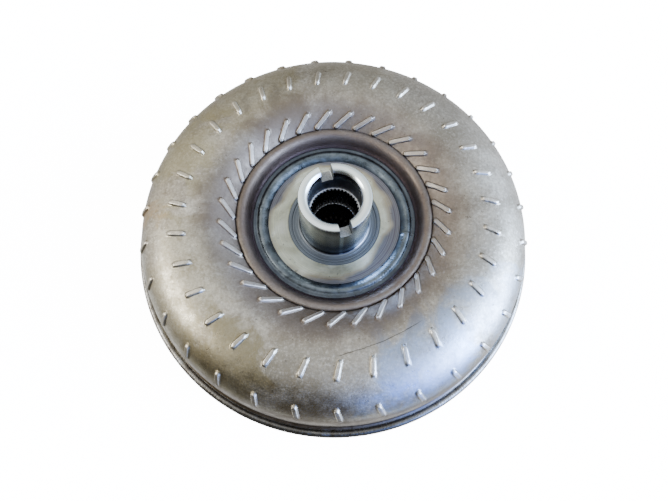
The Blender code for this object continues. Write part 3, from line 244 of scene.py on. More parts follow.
def shell_height(radius):
    """Height of the shell's outer face at a radius between the crease and the wall."""
    if radius > CROWN:
        share = (radius - CROWN) / (WALL - CROWN)
        rise = (1 - share**DOME_POWER) ** (1 / DOME_POWER)
        return SEAM + SHOULDER_RISE + (CROWN_RISE - SHOULDER_RISE) * rise
    return SEAM + CROWN_RISE - INNER_CURVE + math.sqrt(INNER_CURVE**2 - (CROWN - radius) ** 2)


def corner_arc(centre, radius, start, end, steps):
    """Points of a circular arc in a profile, from one angle in degrees to another."""
    points = []
    for i in range(steps + 1):
        angle = math.radians(start + (end - start) * i / steps)
        points.append((centre[0] + radius * math.cos(angle), centre[1] + radius * math.sin(angle)))
    return points


def dome_arc(wall, level, rise, steps):
    """Quarter of a superellipse in a profile, from a wall's end at one level to the crown, so much higher."""
    points = []
    for i in range(steps + 1):
        angle = math.pi / 2 * i / steps
        out = max(math.cos(angle), 0.0) ** (2 / DOME_POWER)
        up = math.sin(angle) ** (2 / DOME_POWER)
        points.append((CROWN + (wall - CROWN) * out, level + rise * up))
    return points


def shell_line(depth, steps):
    """Profile from the wall over the crown to the crease, this deep below the outer face."""
    points = dome_arc(WALL - depth, SEAM + SHOULDER_RISE, CROWN_RISE - depth - SHOULDER_RISE, steps)
    reach = math.degrees(math.acos((CROWN - CREASE) / INNER_CURVE))
    centre = (CROWN, SEAM + CROWN_RISE - INNER_CURVE)
    return points + corner_arc(centre, INNER_CURVE - depth, 90, 180 - reach, steps // 2)[1:]


def polar(radius, degrees, height=0.0):
    """A point at a radius, azimuth and height."""
    angle = math.radians(degrees)
    return Vector((radius * math.cos(angle), radius * math.sin(angle), height))


def blade_azimuth(radius):
    """Azimuth in degrees of the blade line at a radius, straight between the ends of its seats."""
    ends = [end for seat in SEATS for end in seat]
    if radius <= ends[0][0]:
        return ends[0][1]
    for (near, start), (far, end) in zip(ends, ends[1:]):
        if radius <= far:
            return start + (end - start) * (radius - near) / (far - near)
    return ends[-1][1]


def ease(share):
    """Smooth step from 0 to 1."""
    share = min(max(share, 0.0), 1.0)
    return share * share * (3 - 2 * share)


def spun(profile, steps, degrees=360.0, closed=True):
    """A profile of (radius, height) points swept round the shaft, drawn in millimetres."""
    swept = bmesh.new()
    corners = [swept.verts.new((radius, 0.0, height)) for radius, height in profile]
    edges = [swept.edges.new(pair) for pair in zip(corners, corners[1:])]
    if closed:
        edges.append(swept.edges.new((corners[-1], corners[0])))
    bmesh.ops.spin(
        swept,
        geom=corners + edges,
        cent=(0, 0, 0),
        axis=(0, 0, 1),
        dvec=(0, 0, 0),
        angle=math.radians(degrees),
        steps=steps,
        use_merge=degrees == 360.0,
    )
    return swept


def copied_round(shape, count):
    """Repeats a drawing round the shaft, until there are this many."""
    bmesh.ops.spin(
        shape,
        geom=shape.verts[:] + shape.edges[:] + shape.faces[:],
        cent=(0, 0, 0),
        axis=(0, 0, 1),
        dvec=(0, 0, 0),
        angle=math.radians(360 / count * (count - 1)),
        steps=count - 1,
        use_duplicate=True,
    )


def ring_place(vert):
    """A corner's distance from the shaft and its azimuth in degrees."""
    return math.hypot(vert.co.x, vert.co.y), math.degrees(math.atan2(vert.co.y, vert.co.x))


def finish_piece(name, drawn, material, body, slot, *nodes, crease=35.0):
    """Turns a shape drawn in millimetres into a piece in metres that rides on its body."""
    bmesh.ops.remove_doubles(drawn, verts=drawn.verts, dist=MERGE_WITHIN)
    bmesh.ops.recalc_face_normals(drawn, faces=drawn.faces)
    bmesh.ops.scale(drawn, vec=(MM, MM, MM), verts=drawn.verts)
    made = bpy.data.meshes.new(name)
    drawn.to_mesh(made)
    drawn.free()
    made.materials.append(material)
    made.shade_smooth()
    made.set_sharp_from_angle(angle=math.radians(crease))
    piece = bpy.data.objects.new(name, made)
    bpy.context.scene.collection.objects.link(piece)
    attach(piece, body)
    if nodes:
        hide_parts(*nodes)
    return piece


def new_material(name):
    """Begins a material, whose node tree is at hand from here on. Gives it and the shaded place in mm."""
    global tree
    material = bpy.data.materials.new(name)
    material.use_nodes = True
    tree = material.node_tree
    tree.nodes.clear()
    place = node("TexCoord").outputs["Object"]
    spot = node("VectorMath", {0: place, "Scale": 1 / MM}, operation="SCALE").outputs["Vector"]
    return material, spot


def measured(spot):
    """A place's three measures, the same place brought down to the table, and its distance from the shaft."""
    ways = node("SeparateXYZ", {"Vector": spot}).outputs
    flat = node("CombineXYZ", {"X": ways["X"], "Y": ways["Y"]}).outputs[0]
    return ways, flat, vector_value("LENGTH", flat)


def cloud(spot, size, detail=4.0, roughness=0.6, distortion=0.0):
    """Noise from 0 to 1, with patches about this many millimetres wide."""
    settings = {"Vector": spot, "Scale": 1 / size, "Detail": detail, "Roughness": roughness}
    return node("TexNoise", {**settings, "Distortion": distortion}).outputs["Fac"]


def ramp(value, *stops):
    """Colours along a value, as (position, hex colour) stops."""
    made = node("ValToRGB", {"Fac": value})
    elements = made.color_ramp.elements
    while len(elements) < len(stops):
        elements.new(1.0)
    for element, (position, code) in zip(elements, stops):
        element.position = position
        element.color = srgb(code)
    return made.outputs["Color"]


def tinted(colour, *tints):
    """A colour under others. Each tint has a value, where it sets in and is full, a strength and a colour."""
    for value, low, high, strength, code in tints:
        colour = mixed(span(value, low, high, 0.0, strength), colour, srgb(code))
    return colour


def summed(first, second, operation="ADD"):
    """Two values added, or brought together by another operation."""
    return node("Math", {0: first, 1: second}, operation=operation).outputs[0]


def times(first, second):
    """Two values multiplied."""
    return summed(first, second, "MULTIPLY")


def surfaced(colour, dull, relief, depth, metallic=1.0):
    """Ends a material: its colour, its roughness, and a relief this many millimetres deep."""
    bump = node("Bump", {"Height": relief, "Distance": depth * MM}).outputs["Normal"]
    look = {"Base Color": colour, "Metallic": metallic, "Roughness": dull, "Normal": bump}
    node("OutputMaterial", {"Surface": node("BsdfPrincipled", look).outputs[0]})


# Oiled sheet steel: scuffed by handling, with straw and olive stains of old oil and a fine scratch.
# Among the stains lie patches of painted light: a bluish reflection at the front right, shade on the inner
# slope.
# The weld's heat tinted it purple-brown round the collar, with painted shade added over the inner slope.
# The seats carry painted highlights along their tops and painted shade round their feet.
# A stain, or a patch of painted light, has a place, how far it reaches, a strength and a colour
STAINS_AND_PAINTED_LIGHT = (
    (-88.0, -52.0, 46.0, 0.25, "#989068"),
    (-58.0, -96.0, 36.0, 0.75, "#7B7254"),
    (-96.0, 34.0, 40.0, 0.45, "#A29B74"),
    (-60.0, 82.0, 44.0, 0.40, "#9E946E"),
    (10.0, 100.0, 36.0, 0.20, "#A29A80"),
    (-12.0, -118.0, 28.0, 0.40, "#7A6A4C"),
    # The next two are painted reflection: the window's bluish sheen on the front right
    (60.0, -94.0, 44.0, 0.50, "#86A2C8"),
    (102.0, -56.0, 42.0, 0.30, "#A2B8D2"),
    (-129.0, -4.0, 24.0, 0.65, "#A88E66"),
    # The next two are painted shade on the inner slope
    (-36.0, 60.0, 30.0, 0.60, "#5F574E"),
    (-68.0, 8.0, 26.0, 0.40, "#655C52"),
    (80.0, 60.0, 44.0, 0.25, "#8F877A"),
)
SCRATCH_CENTRE = (-34.9, 60.7, 0.0)
SCRATCH_RADIUS = 153.1
SCRATCH_ENDS = (3.0, 53.0)
SCRATCH_FADE = 6.0

oiled_steel, spot = new_material("oil_stained_sheet_steel")
ways, flat, radius = measured(spot)
broad = cloud(spot, 40.0, detail=6.0, roughness=0.62, distortion=0.4)
wavy = cloud(spot, 26.0, detail=5.0, distortion=0.8)
mottle = cloud(spot, 9.0, detail=7.0, roughness=0.72)
speckle = cloud(spot, 1.7, detail=4.0, roughness=0.75)
grain = cloud(spot, 1.1, detail=3.0, roughness=0.7)
steel = tinted(
    ramp(broad, (0.34, "#928D80"), (0.50, "#AFAA9E"), (0.64, "#C5C3B9")),
    (mottle, 0.45, 0.66, 0.55, "#7E7462"),
    (mottle, 0.44, 0.30, 0.35, "#DAD7CF"),
    (speckle, 0.44, 0.62, 0.32, "#6E685E"),
    (speckle, 0.48, 0.34, 0.28, "#EFEDE7"),
)
for x, y, reach, strength, code in STAINS_AND_PAINTED_LIGHT:
    away = vector_value("DISTANCE", flat, (x, y, 0.0))
    away = summed(away, span(wavy, 0.25, 0.75, -reach / 2, reach / 2))
    steel = tinted(steel, (away, reach, reach * 0.4, strength, code))
# Heat tint round the collar, carried out over the inner slope as painted shade
heat_tint_and_shade_radius = summed(radius, span(wavy, 0.3, 0.7, -4.0, 4.0))
steel = tinted(
    steel,
    (heat_tint_and_shade_radius, 91.0, 70.0, 0.80, "#695E55"),
    (radius, 60.0, 56.5, 0.55, "#6A5D54"),
    (radius, 56.5, 53.0, 0.80, "#4A3C3A"),
    (radius, 53.5, 51.5, 0.80, "#26232B"),
)
# Painted shade round the foot of each seat, a painted highlight along its top, and painted shade in the
# crease beside the collar
lift = node("Attribute", attribute_name="seat").outputs["Fac"]
foot = times(span(lift, 0.02, 0.14), span(lift, 0.40, 0.18, 0.0, 0.4))
steel = mixed(foot, steel, srgb("#5A5147"))
painted_seat_highlight = times(span(lift, 0.45, 0.85, 0.0, 0.6), span(lift, 1.0, 0.95, 0.45, 1.0))
steel = mixed(painted_seat_highlight, steel, srgb("#E4E0D6"))
painted_crease_shade = times(span(radius, 60.6, 61.1), span(radius, 61.8, 61.2, 0.0, 0.7))
steel = mixed(painted_crease_shade, steel, srgb("#2A2524"))
steel = tinted(steel, (cloud(spot, 2.2, detail=2.0), 0.68, 0.76, 0.6, "#4A443A"))
away = summed(vector_value("DISTANCE", flat, SCRATCH_CENTRE), SCRATCH_RADIUS, "SUBTRACT")
away = summed(summed(away, span(broad, 0.3, 0.7, -1.0, 1.0)), 0.0, "ABSOLUTE")
run = span(ways["X"], SCRATCH_ENDS[0], SCRATCH_ENDS[0] + SCRATCH_FADE)
run = times(run, span(ways["X"], SCRATCH_ENDS[1], SCRATCH_ENDS[1] - SCRATCH_FADE))
run = times(run, span(ways["Y"], -50.0, -60.0))
scratch = times(span(away, 0.4, 0.15, 0.0, 0.7), run)
steel = mixed(scratch, steel, srgb("#3E3830"))
# Painted shade: the wall's foot darkened at the front, where it mirrors the dark person
painted_skirt_shade = times(span(radius, 120.6, 122.6), span(ways["Y"], -60.0, -105.0, 0.0, 0.8))
steel = mixed(painted_skirt_shade, steel, srgb("#56493C"))
dull = span(mottle, 0.32, 0.68, 0.28, 0.46)
dull = summed(dull, span(radius, 82.0, 70.0, 0.0, 0.16))
dull = summed(dull, span(grain, 0.3, 0.7, -0.05, 0.05))
relief = summed(mottle, times(grain, 0.25))
surfaced(steel, dull, summed(relief, times(broad, 1.5)), 0.16)

outside = list(reversed(COLLAR)) + list(reversed(shell_line(0.0, 56)))
ledge_top = SEAM + LEDGE_RISE
outside += [(WALL, ledge_top + 2.0), (WALL + 0.25, ledge_top + 0.9), (WALL + 0.7, ledge_top + 0.25)]
outside += [(LEDGE - 0.4, ledge_top), (LEDGE, ledge_top - 0.4), (LEDGE, SEAM - SPIGOT_DROP)]
inside = [(WALL - SHEET, SEAM - SPIGOT_DROP)] + shell_line(SHEET, 8)
inside += [(52.3, 73.4), (43.6, 71.9), (43.6, 75.3)]
columns = [*HALF_COLUMNS, 0.5, *[1 - share for share in reversed(HALF_COLUMNS)]]
pitch = 360.0 / BLADES
shape = spun(outside + inside, len(columns) - 1, pitch)
seat_layer = shape.verts.layers.float.new("seat")
for vert in shape.verts:
    radius_here, azimuth = ring_place(vert)
    column = round(azimuth / pitch * (len(columns) - 1))
    azimuth = blade_azimuth(radius_here) + (columns[column] - 0.5) * pitch
    vert.co = polar(radius_here, azimuth, vert.co.z)
for (near, near_azimuth), (far, far_azimuth) in SEATS:
    foot = polar(near, near_azimuth, shell_height(near))
    tip = polar(far, far_azimuth, shell_height(far))
    along = (tip - foot).normalized()
    foot += along * SEAT_HALF_WIDTH * SEAT_END_SHARE
    length = (tip - foot).length - SEAT_HALF_WIDTH * SEAT_END_SHARE
    outward = polar(1.0, (near_azimuth + far_azimuth) / 2)
    face = (Vector((0, 0, 1)).cross(outward)).cross(along).normalized()
    if face.z < 0:
        face = -face
    for vert in shape.verts:
        offset = vert.co - foot
        height_off = offset.dot(face)
        if abs(height_off) > SHEET:
            continue
        offset -= face * height_off
        nearest = along * min(max(offset.dot(along), 0.0), length)
        share = ease((SEAT_HALF_WIDTH - (offset - nearest).length) / SEAT_FLANK)
        vert.co += face * (SEAT_RISE * share)
        vert[seat_layer] = max(vert[seat_layer], share)
copied_round(shape, BLADES)
finish_piece("impeller_shell_pressed", shape, oiled_steel, "housing", "dome_steel", "impeller_shell")


# Hub: a forged and turned tube with a wide flange, ground where the gearbox seal runs.
# Two notches across its end take the tangs that drive the oil pump.
HUB_RADIUS = 21.65
HUB_BORE = 15.7
HUB_END = 111.2
FLANGE_FACE = 73.2
FLANGE_SLOPE = 0.161
FLANGE_RADIUS = 43.2
STEP_RADIUS = 29.6
NOTCH_HALF_WIDTH = 3.75
NOTCH_FLOOR = 101.2
NOTCH_AZIMUTH = -70.5
# Slack within which a corner counts as lying on one of a notch's faces
ON_FACE = 0.001
CUT_SLACK = 0.0001
NOTCH_ROUND = 1.0
# The weld's heat reaches in furthest on these two opposite sides of the flange
DIPS_AZIMUTH = 150.0
# Painted reflections in streaks along the tube, dark at the front and bright at the right.
# Each has an azimuth, half angles of the core and of the soft edge, colour and strength
TUBE_PAINTED_REFLECTIONS = (
    (272, 20, 44, "#1E1F28", 0.985),
    (246, 3, 14, "#5E5E58", 0.50),
    (283, 1, 4, "#A9BCCB", 0.25),
    (330, 12, 26, "#E6F2FF", 0.95),
)


def flange_height(radius):
    """Height of the hub flange's conical face, which the shell's edge carries on."""
    return FLANGE_FACE + (radius - STEP_RADIUS) * FLANGE_SLOPE


def patchy(name, patch, stops, dull, depth, grain=None, film=None, flecks=None, metallic=1.0):
    """A material whose patches set its colour and roughness, and whose finer grain sets its relief. Patch and
    grain are a cloud's size, detail and roughness. Film and flecks are tints that follow the two."""
    material, spot = new_material(name)
    patches = cloud(spot, *patch)
    grains = cloud(spot, *grain) if grain else patches
    colour = ramp(patches, *stops)
    for value, tint in ((patches, film), (grains, flecks)):
        if tint:
            colour = tinted(colour, (value, *tint))
    surfaced(colour, span(patches, 0.3, 0.7, *dull), grains, depth, metallic)
    return material


# Turned steel: ground bright on the tube, dark with oil in the bore and on the steps round its foot.
# Painted reflections streak the tube, and painted shade darkens the fillet at its foot.
# The flange has a straw film, which the weld's heat turned brown and purple at its edge.
turned_steel, spot = new_material("turned_and_ground_steel")
ways, flat, radius = measured(spot)
height = ways["Z"]
stain = cloud(spot, 15.0, detail=6.0, roughness=0.65, distortion=0.5)
fleck = cloud(spot, 2.0, detail=3.0)
drift = cloud(spot, 20.0, detail=2.5, roughness=0.45)
lines = cloud(node("CombineXYZ", {"X": radius, "Z": height}).outputs[0], 0.38, detail=2.0)
outwards = node("VectorMath", {0: flat}, operation="NORMALIZE").outputs["Vector"]
skew = span(ways["X"], -30.0, 40.0, 1.5, -3.5)
bent = summed(radius, summed(span(drift, 0.25, 0.75, 2.2, -2.2), skew, "SUBTRACT"))
dips = vector_value("DOT_PRODUCT", outwards, polar(1.0, DIPS_AZIMUTH))
dips = summed(dips, 0.0, "ABSOLUTE")
bent = summed(bent, span(dips, 0.88, 1.0, 0.0, 3.5))
cone = tinted(
    ramp(stain, (0.35, "#A6A68C"), (0.52, "#C2C4AE"), (0.68, "#D6D9CA")),
    (bent, 37.2, 40.0, 0.70, "#85775F"),
    (bent, 39.2, 42.5, 0.90, "#4E4E5A"),
    (fleck, 0.62, 0.72, 0.60, "#4D463C"),
)
steps = mixed(span(lines, 0.35, 0.65), srgb("#474E56"), srgb("#666F78"))
# Painted shade in the fillet at the tube's foot
steps = tinted(steps, (radius, 23.2, 22.9, 1.0, "#30343B"))
rings = mixed(span(radius, 29.3, 29.8), steps, cone)
tube = mixed(span(radius, 21.7, 21.9), srgb("#B2B8BC"), rings)
tube = tinted(tube, (lines, 0.40, 0.60, 0.35, "#8C9297"))
# Painted reflections streaked along the tube
on_tube = times(span(radius, 22.8, 22.1), span(height, 74.0, 92.0, 0.80, 1.0))
for azimuth, core, edge, code, strength in TUBE_PAINTED_REFLECTIONS:
    share = times(towards(outwards, azimuth, 0, core, edge, strength), on_tube)
    tube = mixed(share, tube, srgb(code))
tube = tinted(tube, (height, 110.0, 110.8, 1.0, "#EDFAFC"))
oily = times(span(radius, 16.0, 15.6), span(height, 108.5, 101.0))
colour = mixed(oily, tube, srgb("#4C525E"))
dull = span(radius, 21.8, 22.6, 0.20, 0.42)
dull = node("Mix", {"Factor": oily, "A": dull, "B": 0.5}).outputs["Result"]
dull = summed(dull, span(stain, 0.3, 0.7, -0.05, 0.06))
surfaced(colour, dull, lines, 0.03)

# Milled steel: the notches' walls and floors, left rough by the cutter.
stops = ((0.35, "#6E7376"), (0.65, "#989C9C"))
milled_steel = patchy("rough_milled_steel", (0.8, 3.0), stops, (0.35, 0.55), 0.08)

profile = [
    (20.95, HUB_END), (21.3, HUB_END - 0.1), (HUB_RADIUS - 0.05, 110.6), (HUB_RADIUS, 110.3),
    (HUB_RADIUS, 74.3), (21.9, 73.5), (22.5, 72.9), (23.2, 72.6), (24.3, 72.6), (24.5, 72.4), (26.9, 72.4),
    (27.1, 73.15), (29.1, FLANGE_FACE), (29.3, 72.85), (29.65, 72.85), (29.85, flange_height(29.85)),
    (36.0, flange_height(36.0)), (FLANGE_RADIUS, flange_height(FLANGE_RADIUS)),
    (FLANGE_RADIUS, flange_height(FLANGE_RADIUS) - SHEET), (36.7, 69.0), (18.0, 69.0), (18.0, 90.3),
    (HUB_BORE, 90.3), (HUB_BORE, 109.5), (16.0, 109.9), (17.3, 111.05), (17.6, HUB_END),
]
shape = spun(profile, 160)
whole = shape.verts[:] + shape.edges[:] + shape.faces[:]
bmesh.ops.bisect_plane(shape, geom=whole, dist=CUT_SLACK, plane_co=(0, 0, NOTCH_FLOOR), plane_no=(0, 0, 1))
facing = polar(1.0, NOTCH_AZIMUTH)
sidewards = polar(1.0, NOTCH_AZIMUTH + 90)
for side in (-1, 1):
    top = [face for face in shape.faces if face.calc_center_median().z > NOTCH_FLOOR]
    reach = list({part for face in top for part in (*face.verts, *face.edges)}) + top
    plane = sidewards * (side * NOTCH_HALF_WIDTH)
    bmesh.ops.bisect_plane(shape, geom=reach, dist=CUT_SLACK, plane_co=plane, plane_no=sidewards)
milled = []
for face in shape.faces:
    middle = face.calc_center_median()
    if middle.z > NOTCH_FLOOR and abs(middle.dot(sidewards)) < NOTCH_HALF_WIDTH:
        milled.append(face)
bmesh.ops.delete(shape, geom=milled, context="FACES")
floor_corners = []
for end in (-1, 1):
    rim = [edge for edge in shape.edges if edge.is_boundary and edge.verts[0].co.dot(facing) * end > 0]
    arcs = [edge for edge in rim if all(abs(vert.co.z - NOTCH_FLOOR) < ON_FACE for vert in edge.verts)]
    for side in (-1, 1):
        wall = [
            edge
            for edge in rim
            if all(abs(vert.co.dot(sidewards) - side * NOTCH_HALF_WIDTH) < ON_FACE for vert in edge.verts)
        ]
        ends = {vert for edge in wall for vert in edge.verts}
        corner = shape.edges.new([vert for vert in ends if abs(vert.co.z - NOTCH_FLOOR) < ON_FACE])
        for face in bmesh.ops.edgeloop_fill(shape, edges=wall + [corner])["faces"]:
            face.material_index = 1
        arcs.append(corner)
        floor_corners.append(corner)
    for face in bmesh.ops.edgeloop_fill(shape, edges=arcs)["faces"]:
        face.material_index = 1
round_corner = {"segments": 3, "profile": 0.5, "affect": "EDGES", "offset_type": "OFFSET"}
bmesh.ops.bevel(shape, geom=floor_corners, offset=NOTCH_ROUND, **round_corner)
hub = finish_piece("impeller_hub_turned", shape, turned_steel, "housing", "machined_steel", "impeller_hub")
hub.data.materials.append(milled_steel)


# Hub weld: one run of weld round the joint of hub flange and shell, smooth where the torch ran steadily.
# It starts and stops at two blobs, is rippled at the front right, and the heat left it dark blue-grey.
BEAD = (
    (41.7, -0.4), (42.0, 0.2), (42.7, 0.8), (43.6, 1.45), (44.6, 1.95), (45.7, 2.2), (46.7, 2.1), (47.6, 1.7),
    (48.3, 1.1), (48.9, 0.6), (49.6, 0.45), (50.4, 0.6), (51.1, 0.55), (51.6, 0.2), (51.9, -0.4),
)
BEAD_STEPS = 900
BEAD_LINE = 46.0
RIPPLE = 1.9
RIPPLE_BOW = 0.14
RIPPLE_DEPTH = 0.008
# The side with deeper ripples: its middle, its reach on both sides and what it adds to their depth
RIPPLED_AZIMUTH = -38.0
RIPPLED_REACH = 50.0
RIPPLED_DEPTH = 0.055
WAVER = 0.14
WAVER_SCALE = 0.22
BLOBS = (174.0, -10.5)
BLOB_REACH = 4.5
BLOB_HEIGHT = 0.5
BLOB_GRAIN = 0.9


def apart(azimuth, other):
    """Degrees between two azimuths."""
    return abs((azimuth - other + 180) % 360 - 180)


def ripple(radius, azimuth, waver, line, bow, length):
    """Height from -1 to 1 of a weld's ripples, which bow back on both sides of its line."""
    phase = math.radians(azimuth) * line + (radius - line) ** 2 * bow + waver
    return math.sin(2 * math.pi * phase / length)


welded_steel, spot = new_material("heat_blued_weld_steel")
*_, radius = measured(spot)
smoke = cloud(spot, 12.0, detail=6.0, roughness=0.7)
slag = cloud(spot, 3.0, detail=2.0, roughness=0.45)
colour = tinted(
    ramp(smoke, (0.32, "#434A50"), (0.50, "#5F686E"), (0.66, "#788188")),
    (slag, 0.56, 0.72, 0.30, "#2C2F36"),
    (radius, 48.4, 49.6, 0.55, "#33363F"),
    (radius, 43.6, 42.0, 0.45, "#2B2C36"),
)
surfaced(colour, span(slag, 0.3, 0.7, 0.27, 0.37), slag, 0.05)

profile = [(radius, flange_height(radius) + rise) for radius, rise in BEAD]
shape = spun(profile, BEAD_STEPS)
for vert in shape.verts:
    radius_here, azimuth = ring_place(vert)
    rise = vert.co.z - flange_height(radius_here)
    if rise < 0:
        continue
    waver = noise.noise(vert.co * WAVER_SCALE)
    depth = RIPPLE_DEPTH + RIPPLED_DEPTH * ease(1 - apart(azimuth, RIPPLED_AZIMUTH) / RIPPLED_REACH)
    wave = ripple(radius_here, azimuth, waver, BEAD_LINE, RIPPLE_BOW, RIPPLE)
    vert.co.z += depth * wave * min(rise, 1.0) + WAVER * waver
    for blob in BLOBS:
        lump = BLOB_HEIGHT * ease(1 - apart(azimuth, blob) / BLOB_REACH)
        vert.co.z += lump * min(rise, 1.0) * (0.8 + noise.noise(vert.co * BLOB_GRAIN))
finish_piece("hub_weld_laid", shape, welded_steel, "housing", "weld_steel", "hub_weld_bead", crease=60.0)


# Closure weld: the bead that joins shell and cover all round the rim, laid by machine and brushed.
# It is finely rippled, with one start and stop at the front, and a dark line of dirt beside the ledge.
RIM = 131.0
FILLET = (
    (126.0, 50.0), (126.25, 51.9), (126.6, 51.75), (127.1, 52.25), (127.8, 52.6), (128.6, 52.65),
    (129.4, 52.35), (130.1, 51.75), (130.6, 51.0), (130.85, 50.3), (130.95, 49.9), (130.0, 49.8),
)
FILLET_STEPS = 1440
WELD_LINE = 128.5
FINE_RIPPLE = 1.7
FINE_BOW = 0.16
FINE_DEPTH = 0.045
FINE_WAVER = 0.12
FINE_WAVER_SCALE = 0.2
# The bead's open face lies above this height and inside this radius
FACE_BOTTOM = 50.2
FACE_EDGE = 130.7
STOP_AZIMUTH = -91.0
# Where the torch stopped: height and reach of a lump, then depth, place and reach of the dips beside it
STOP_LUMP = (0.35, 2.0)
STOP_DIP = (0.25, 2.6, 1.2)

brushed_weld, spot = new_material("brushed_weld_steel")
ways, _, radius = measured(spot)
smoke = cloud(spot, 16.0, detail=6.0, roughness=0.7)
slag = cloud(spot, 1.4, detail=4.0, roughness=0.7)
colour = tinted(
    ramp(smoke, (0.34, "#66625C"), (0.50, "#8A8882"), (0.66, "#A5A7A8")),
    (slag, 0.54, 0.70, 0.5, "#4A463F"),
    (radius, 126.9, 126.5, 0.5, "#2E2A26"),
    # Painted shade: the bead darkened at the front, where it mirrors the dark person
    (ways["Y"], -100.0, -126.0, 0.7, "#4A4742"),
)
surfaced(colour, span(slag, 0.3, 0.7, 0.22, 0.42), slag, 0.15)

lump, lump_reach = STOP_LUMP
dip, dip_place, dip_reach = STOP_DIP
shape = spun(FILLET, FILLET_STEPS)
for vert in shape.verts:
    radius_here, azimuth = ring_place(vert)
    if vert.co.z < FACE_BOTTOM or radius_here > FACE_EDGE:
        continue
    waver = noise.noise(vert.co * FINE_WAVER_SCALE)
    wave = ripple(radius_here, azimuth, waver, WELD_LINE, FINE_BOW, FINE_RIPPLE)
    vert.co.z += FINE_DEPTH * wave + FINE_WAVER * waver
    off = apart(azimuth, STOP_AZIMUTH)
    vert.co.z += lump * ease(1 - off / lump_reach) - dip * ease(1 - abs(off - dip_place) / dip_reach)
bead = ("closure_weld_laid", shape, brushed_weld, "housing", "weld_steel", "closure_weld_bead")
finish_piece(*bead, crease=60.0)


# Front cover: a pan pressed from thick sheet, with a dished middle and a straight wall that takes the shell.
# It is dull grey-brown like the shell but never polished.
COVER_FACE = 10.0
COVER_INSIDE = 15.0
COVER_CORNER = 14.0
COVER_WALL = 4.5

cover_steel = patchy(
    "dull_pressed_sheet_steel",
    (36.0, 6.0, 0.65),
    ((0.34, "#77726A"), (0.52, "#949088"), (0.68, "#A8A49C")),
    (0.30, 0.48),
    0.12,
    grain=(1.4, 3.0),
    film=(0.56, 0.72, 0.5, "#7C6C50"),
    flecks=(0.60, 0.72, 0.4, "#4E4A44"),
)

profile = [(RIM - 0.4, SEAM), (RIM, SEAM - 0.4)]
profile += corner_arc((RIM - COVER_CORNER, COVER_FACE + COVER_CORNER), COVER_CORNER, 0, -90, 14)
profile += [(60.5, COVER_FACE), (59.2, 10.2), (57.8, 10.9), (54.2, 12.2), (52.8, 12.8), (51.5, 13.0)]
profile += [(17.3, 13.0), (17.0, 13.3)]
profile += [(17.0, 18.0), (53.0, 18.0), (59.0, COVER_INSIDE)]
inner_corner = COVER_CORNER - COVER_WALL
profile += corner_arc((RIM - COVER_CORNER, COVER_INSIDE + inner_corner), inner_corner, -90, 0, 8)
profile.append((RIM - COVER_WALL, SEAM))
shape = spun(profile, 180)
finish_piece("front_cover_pressed", shape, cover_steel, "housing", "cover_steel", "front_cover")


# Pilot boss: a turned plug welded in the middle of the cover, which centres the converter in the crankshaft.
# Its rim is ground bright and its end has a centre drilling.
profile = [
    (0.0, 17.7), (16.7, 17.7), (16.7, 12.7), (19.2, 12.7), (19.5, 12.4), (19.5, 2.6), (19.3, 2.1),
    (17.9, 1.0), (5.2, 1.0), (4.9, 1.2), (1.2, 5.3), (0.0, 5.6),
]
shape = spun(profile, 96, closed=False)
finish_piece("pilot_boss_turned", shape, turned_steel, "housing", "machined_steel", "pilot_boss", crease=30.0)


# Drive lugs: six forged blocks welded to the cover's rim, each drilled and tapped for a flexplate bolt.
# Their outer faces are milled flat together, and a bead of weld runs along both long sides.
LUGS = 6
LUG_CIRCLE = 104.0
LUG_HALF_WIDTH = 12.0
LUG_HALF_LENGTH = 17.0
LUG_TOP = 9.7
LUG_ROUND = 4.0
LUG_EDGE = 0.8
THREAD_RADIUS = 4.25
THREAD_DEPTH = 0.6
THREAD_PITCH = 1.5
THREAD_STEPS = 24
# Rings of corners in each turn of the thread, and how much wider the hole's mouth is
THREAD_RINGS = 4
MOUTH_FLARE = 1.2
# The hole's mouths lie this far inside the faces, so that the loops are bridged the right way round
MOUTH_DROP = 0.02
# Weld bead beside a lug: distance out from the lug's side, and height
LUG_BEAD = ((-0.6, 10.5), (-0.6, 7.2), (0.2, 7.0), (1.4, 7.6), (2.5, 8.8), (3.1, 10.0), (3.2, 10.6))
BEAD_FOOT = 10.4
BEAD_SECTIONS = 72
# A bead ends this far from the lug's corners, where it is this small, and grows by this much a half length
BEAD_END = 2.5
BEAD_END_SIZE = 0.15
BEAD_GROWTH = 6
BEAD_RIPPLE = 0.05


def lofted(rings, looped=True):
    """A closed body through rings of points. The last ring joins the first, or else both ends are filled."""
    drawn = bmesh.new()
    drawn_rings = []
    for ring in rings:
        corners = [drawn.verts.new(point) for point in ring]
        drawn_rings.append([drawn.edges.new(pair) for pair in zip(corners, corners[1:] + corners[:1])])
    pairs = list(zip(drawn_rings, drawn_rings[1:]))
    if looped:
        pairs.append((drawn_rings[-1], drawn_rings[0]))
    for one, other in pairs:
        bmesh.ops.bridge_loops(drawn, edges=one + other)
    if not looped:
        for edges in (drawn_rings[0], drawn_rings[-1]):
            bmesh.ops.edgeloop_fill(drawn, edges=edges)
    return drawn


def turned(shape, degrees):
    """Turns a drawing round the shaft."""
    matrix = Matrix.Rotation(math.radians(degrees), 3, "Z")
    bmesh.ops.rotate(shape, cent=(0, 0, 0), matrix=matrix, verts=shape.verts)


def gather(whole, part):
    """Adds one drawing to another."""
    scratch = bpy.data.meshes.new("scratch")
    part.to_mesh(scratch)
    part.free()
    whole.from_mesh(scratch)
    bpy.data.meshes.remove(scratch)


def rounded_block(inset):
    """Outline of a lug with round corners, so far inside its sides, as (x, y) points round its own centre."""
    outline = []
    for turn, out, side in ((0, 1, 1), (90, -1, 1), (180, -1, -1), (270, 1, -1)):
        centre = (out * (LUG_HALF_WIDTH - LUG_ROUND), side * (LUG_HALF_LENGTH - LUG_ROUND))
        outline += corner_arc(centre, LUG_ROUND - inset, turn, turn + 90, THREAD_STEPS // 4 - 1)
    return outline


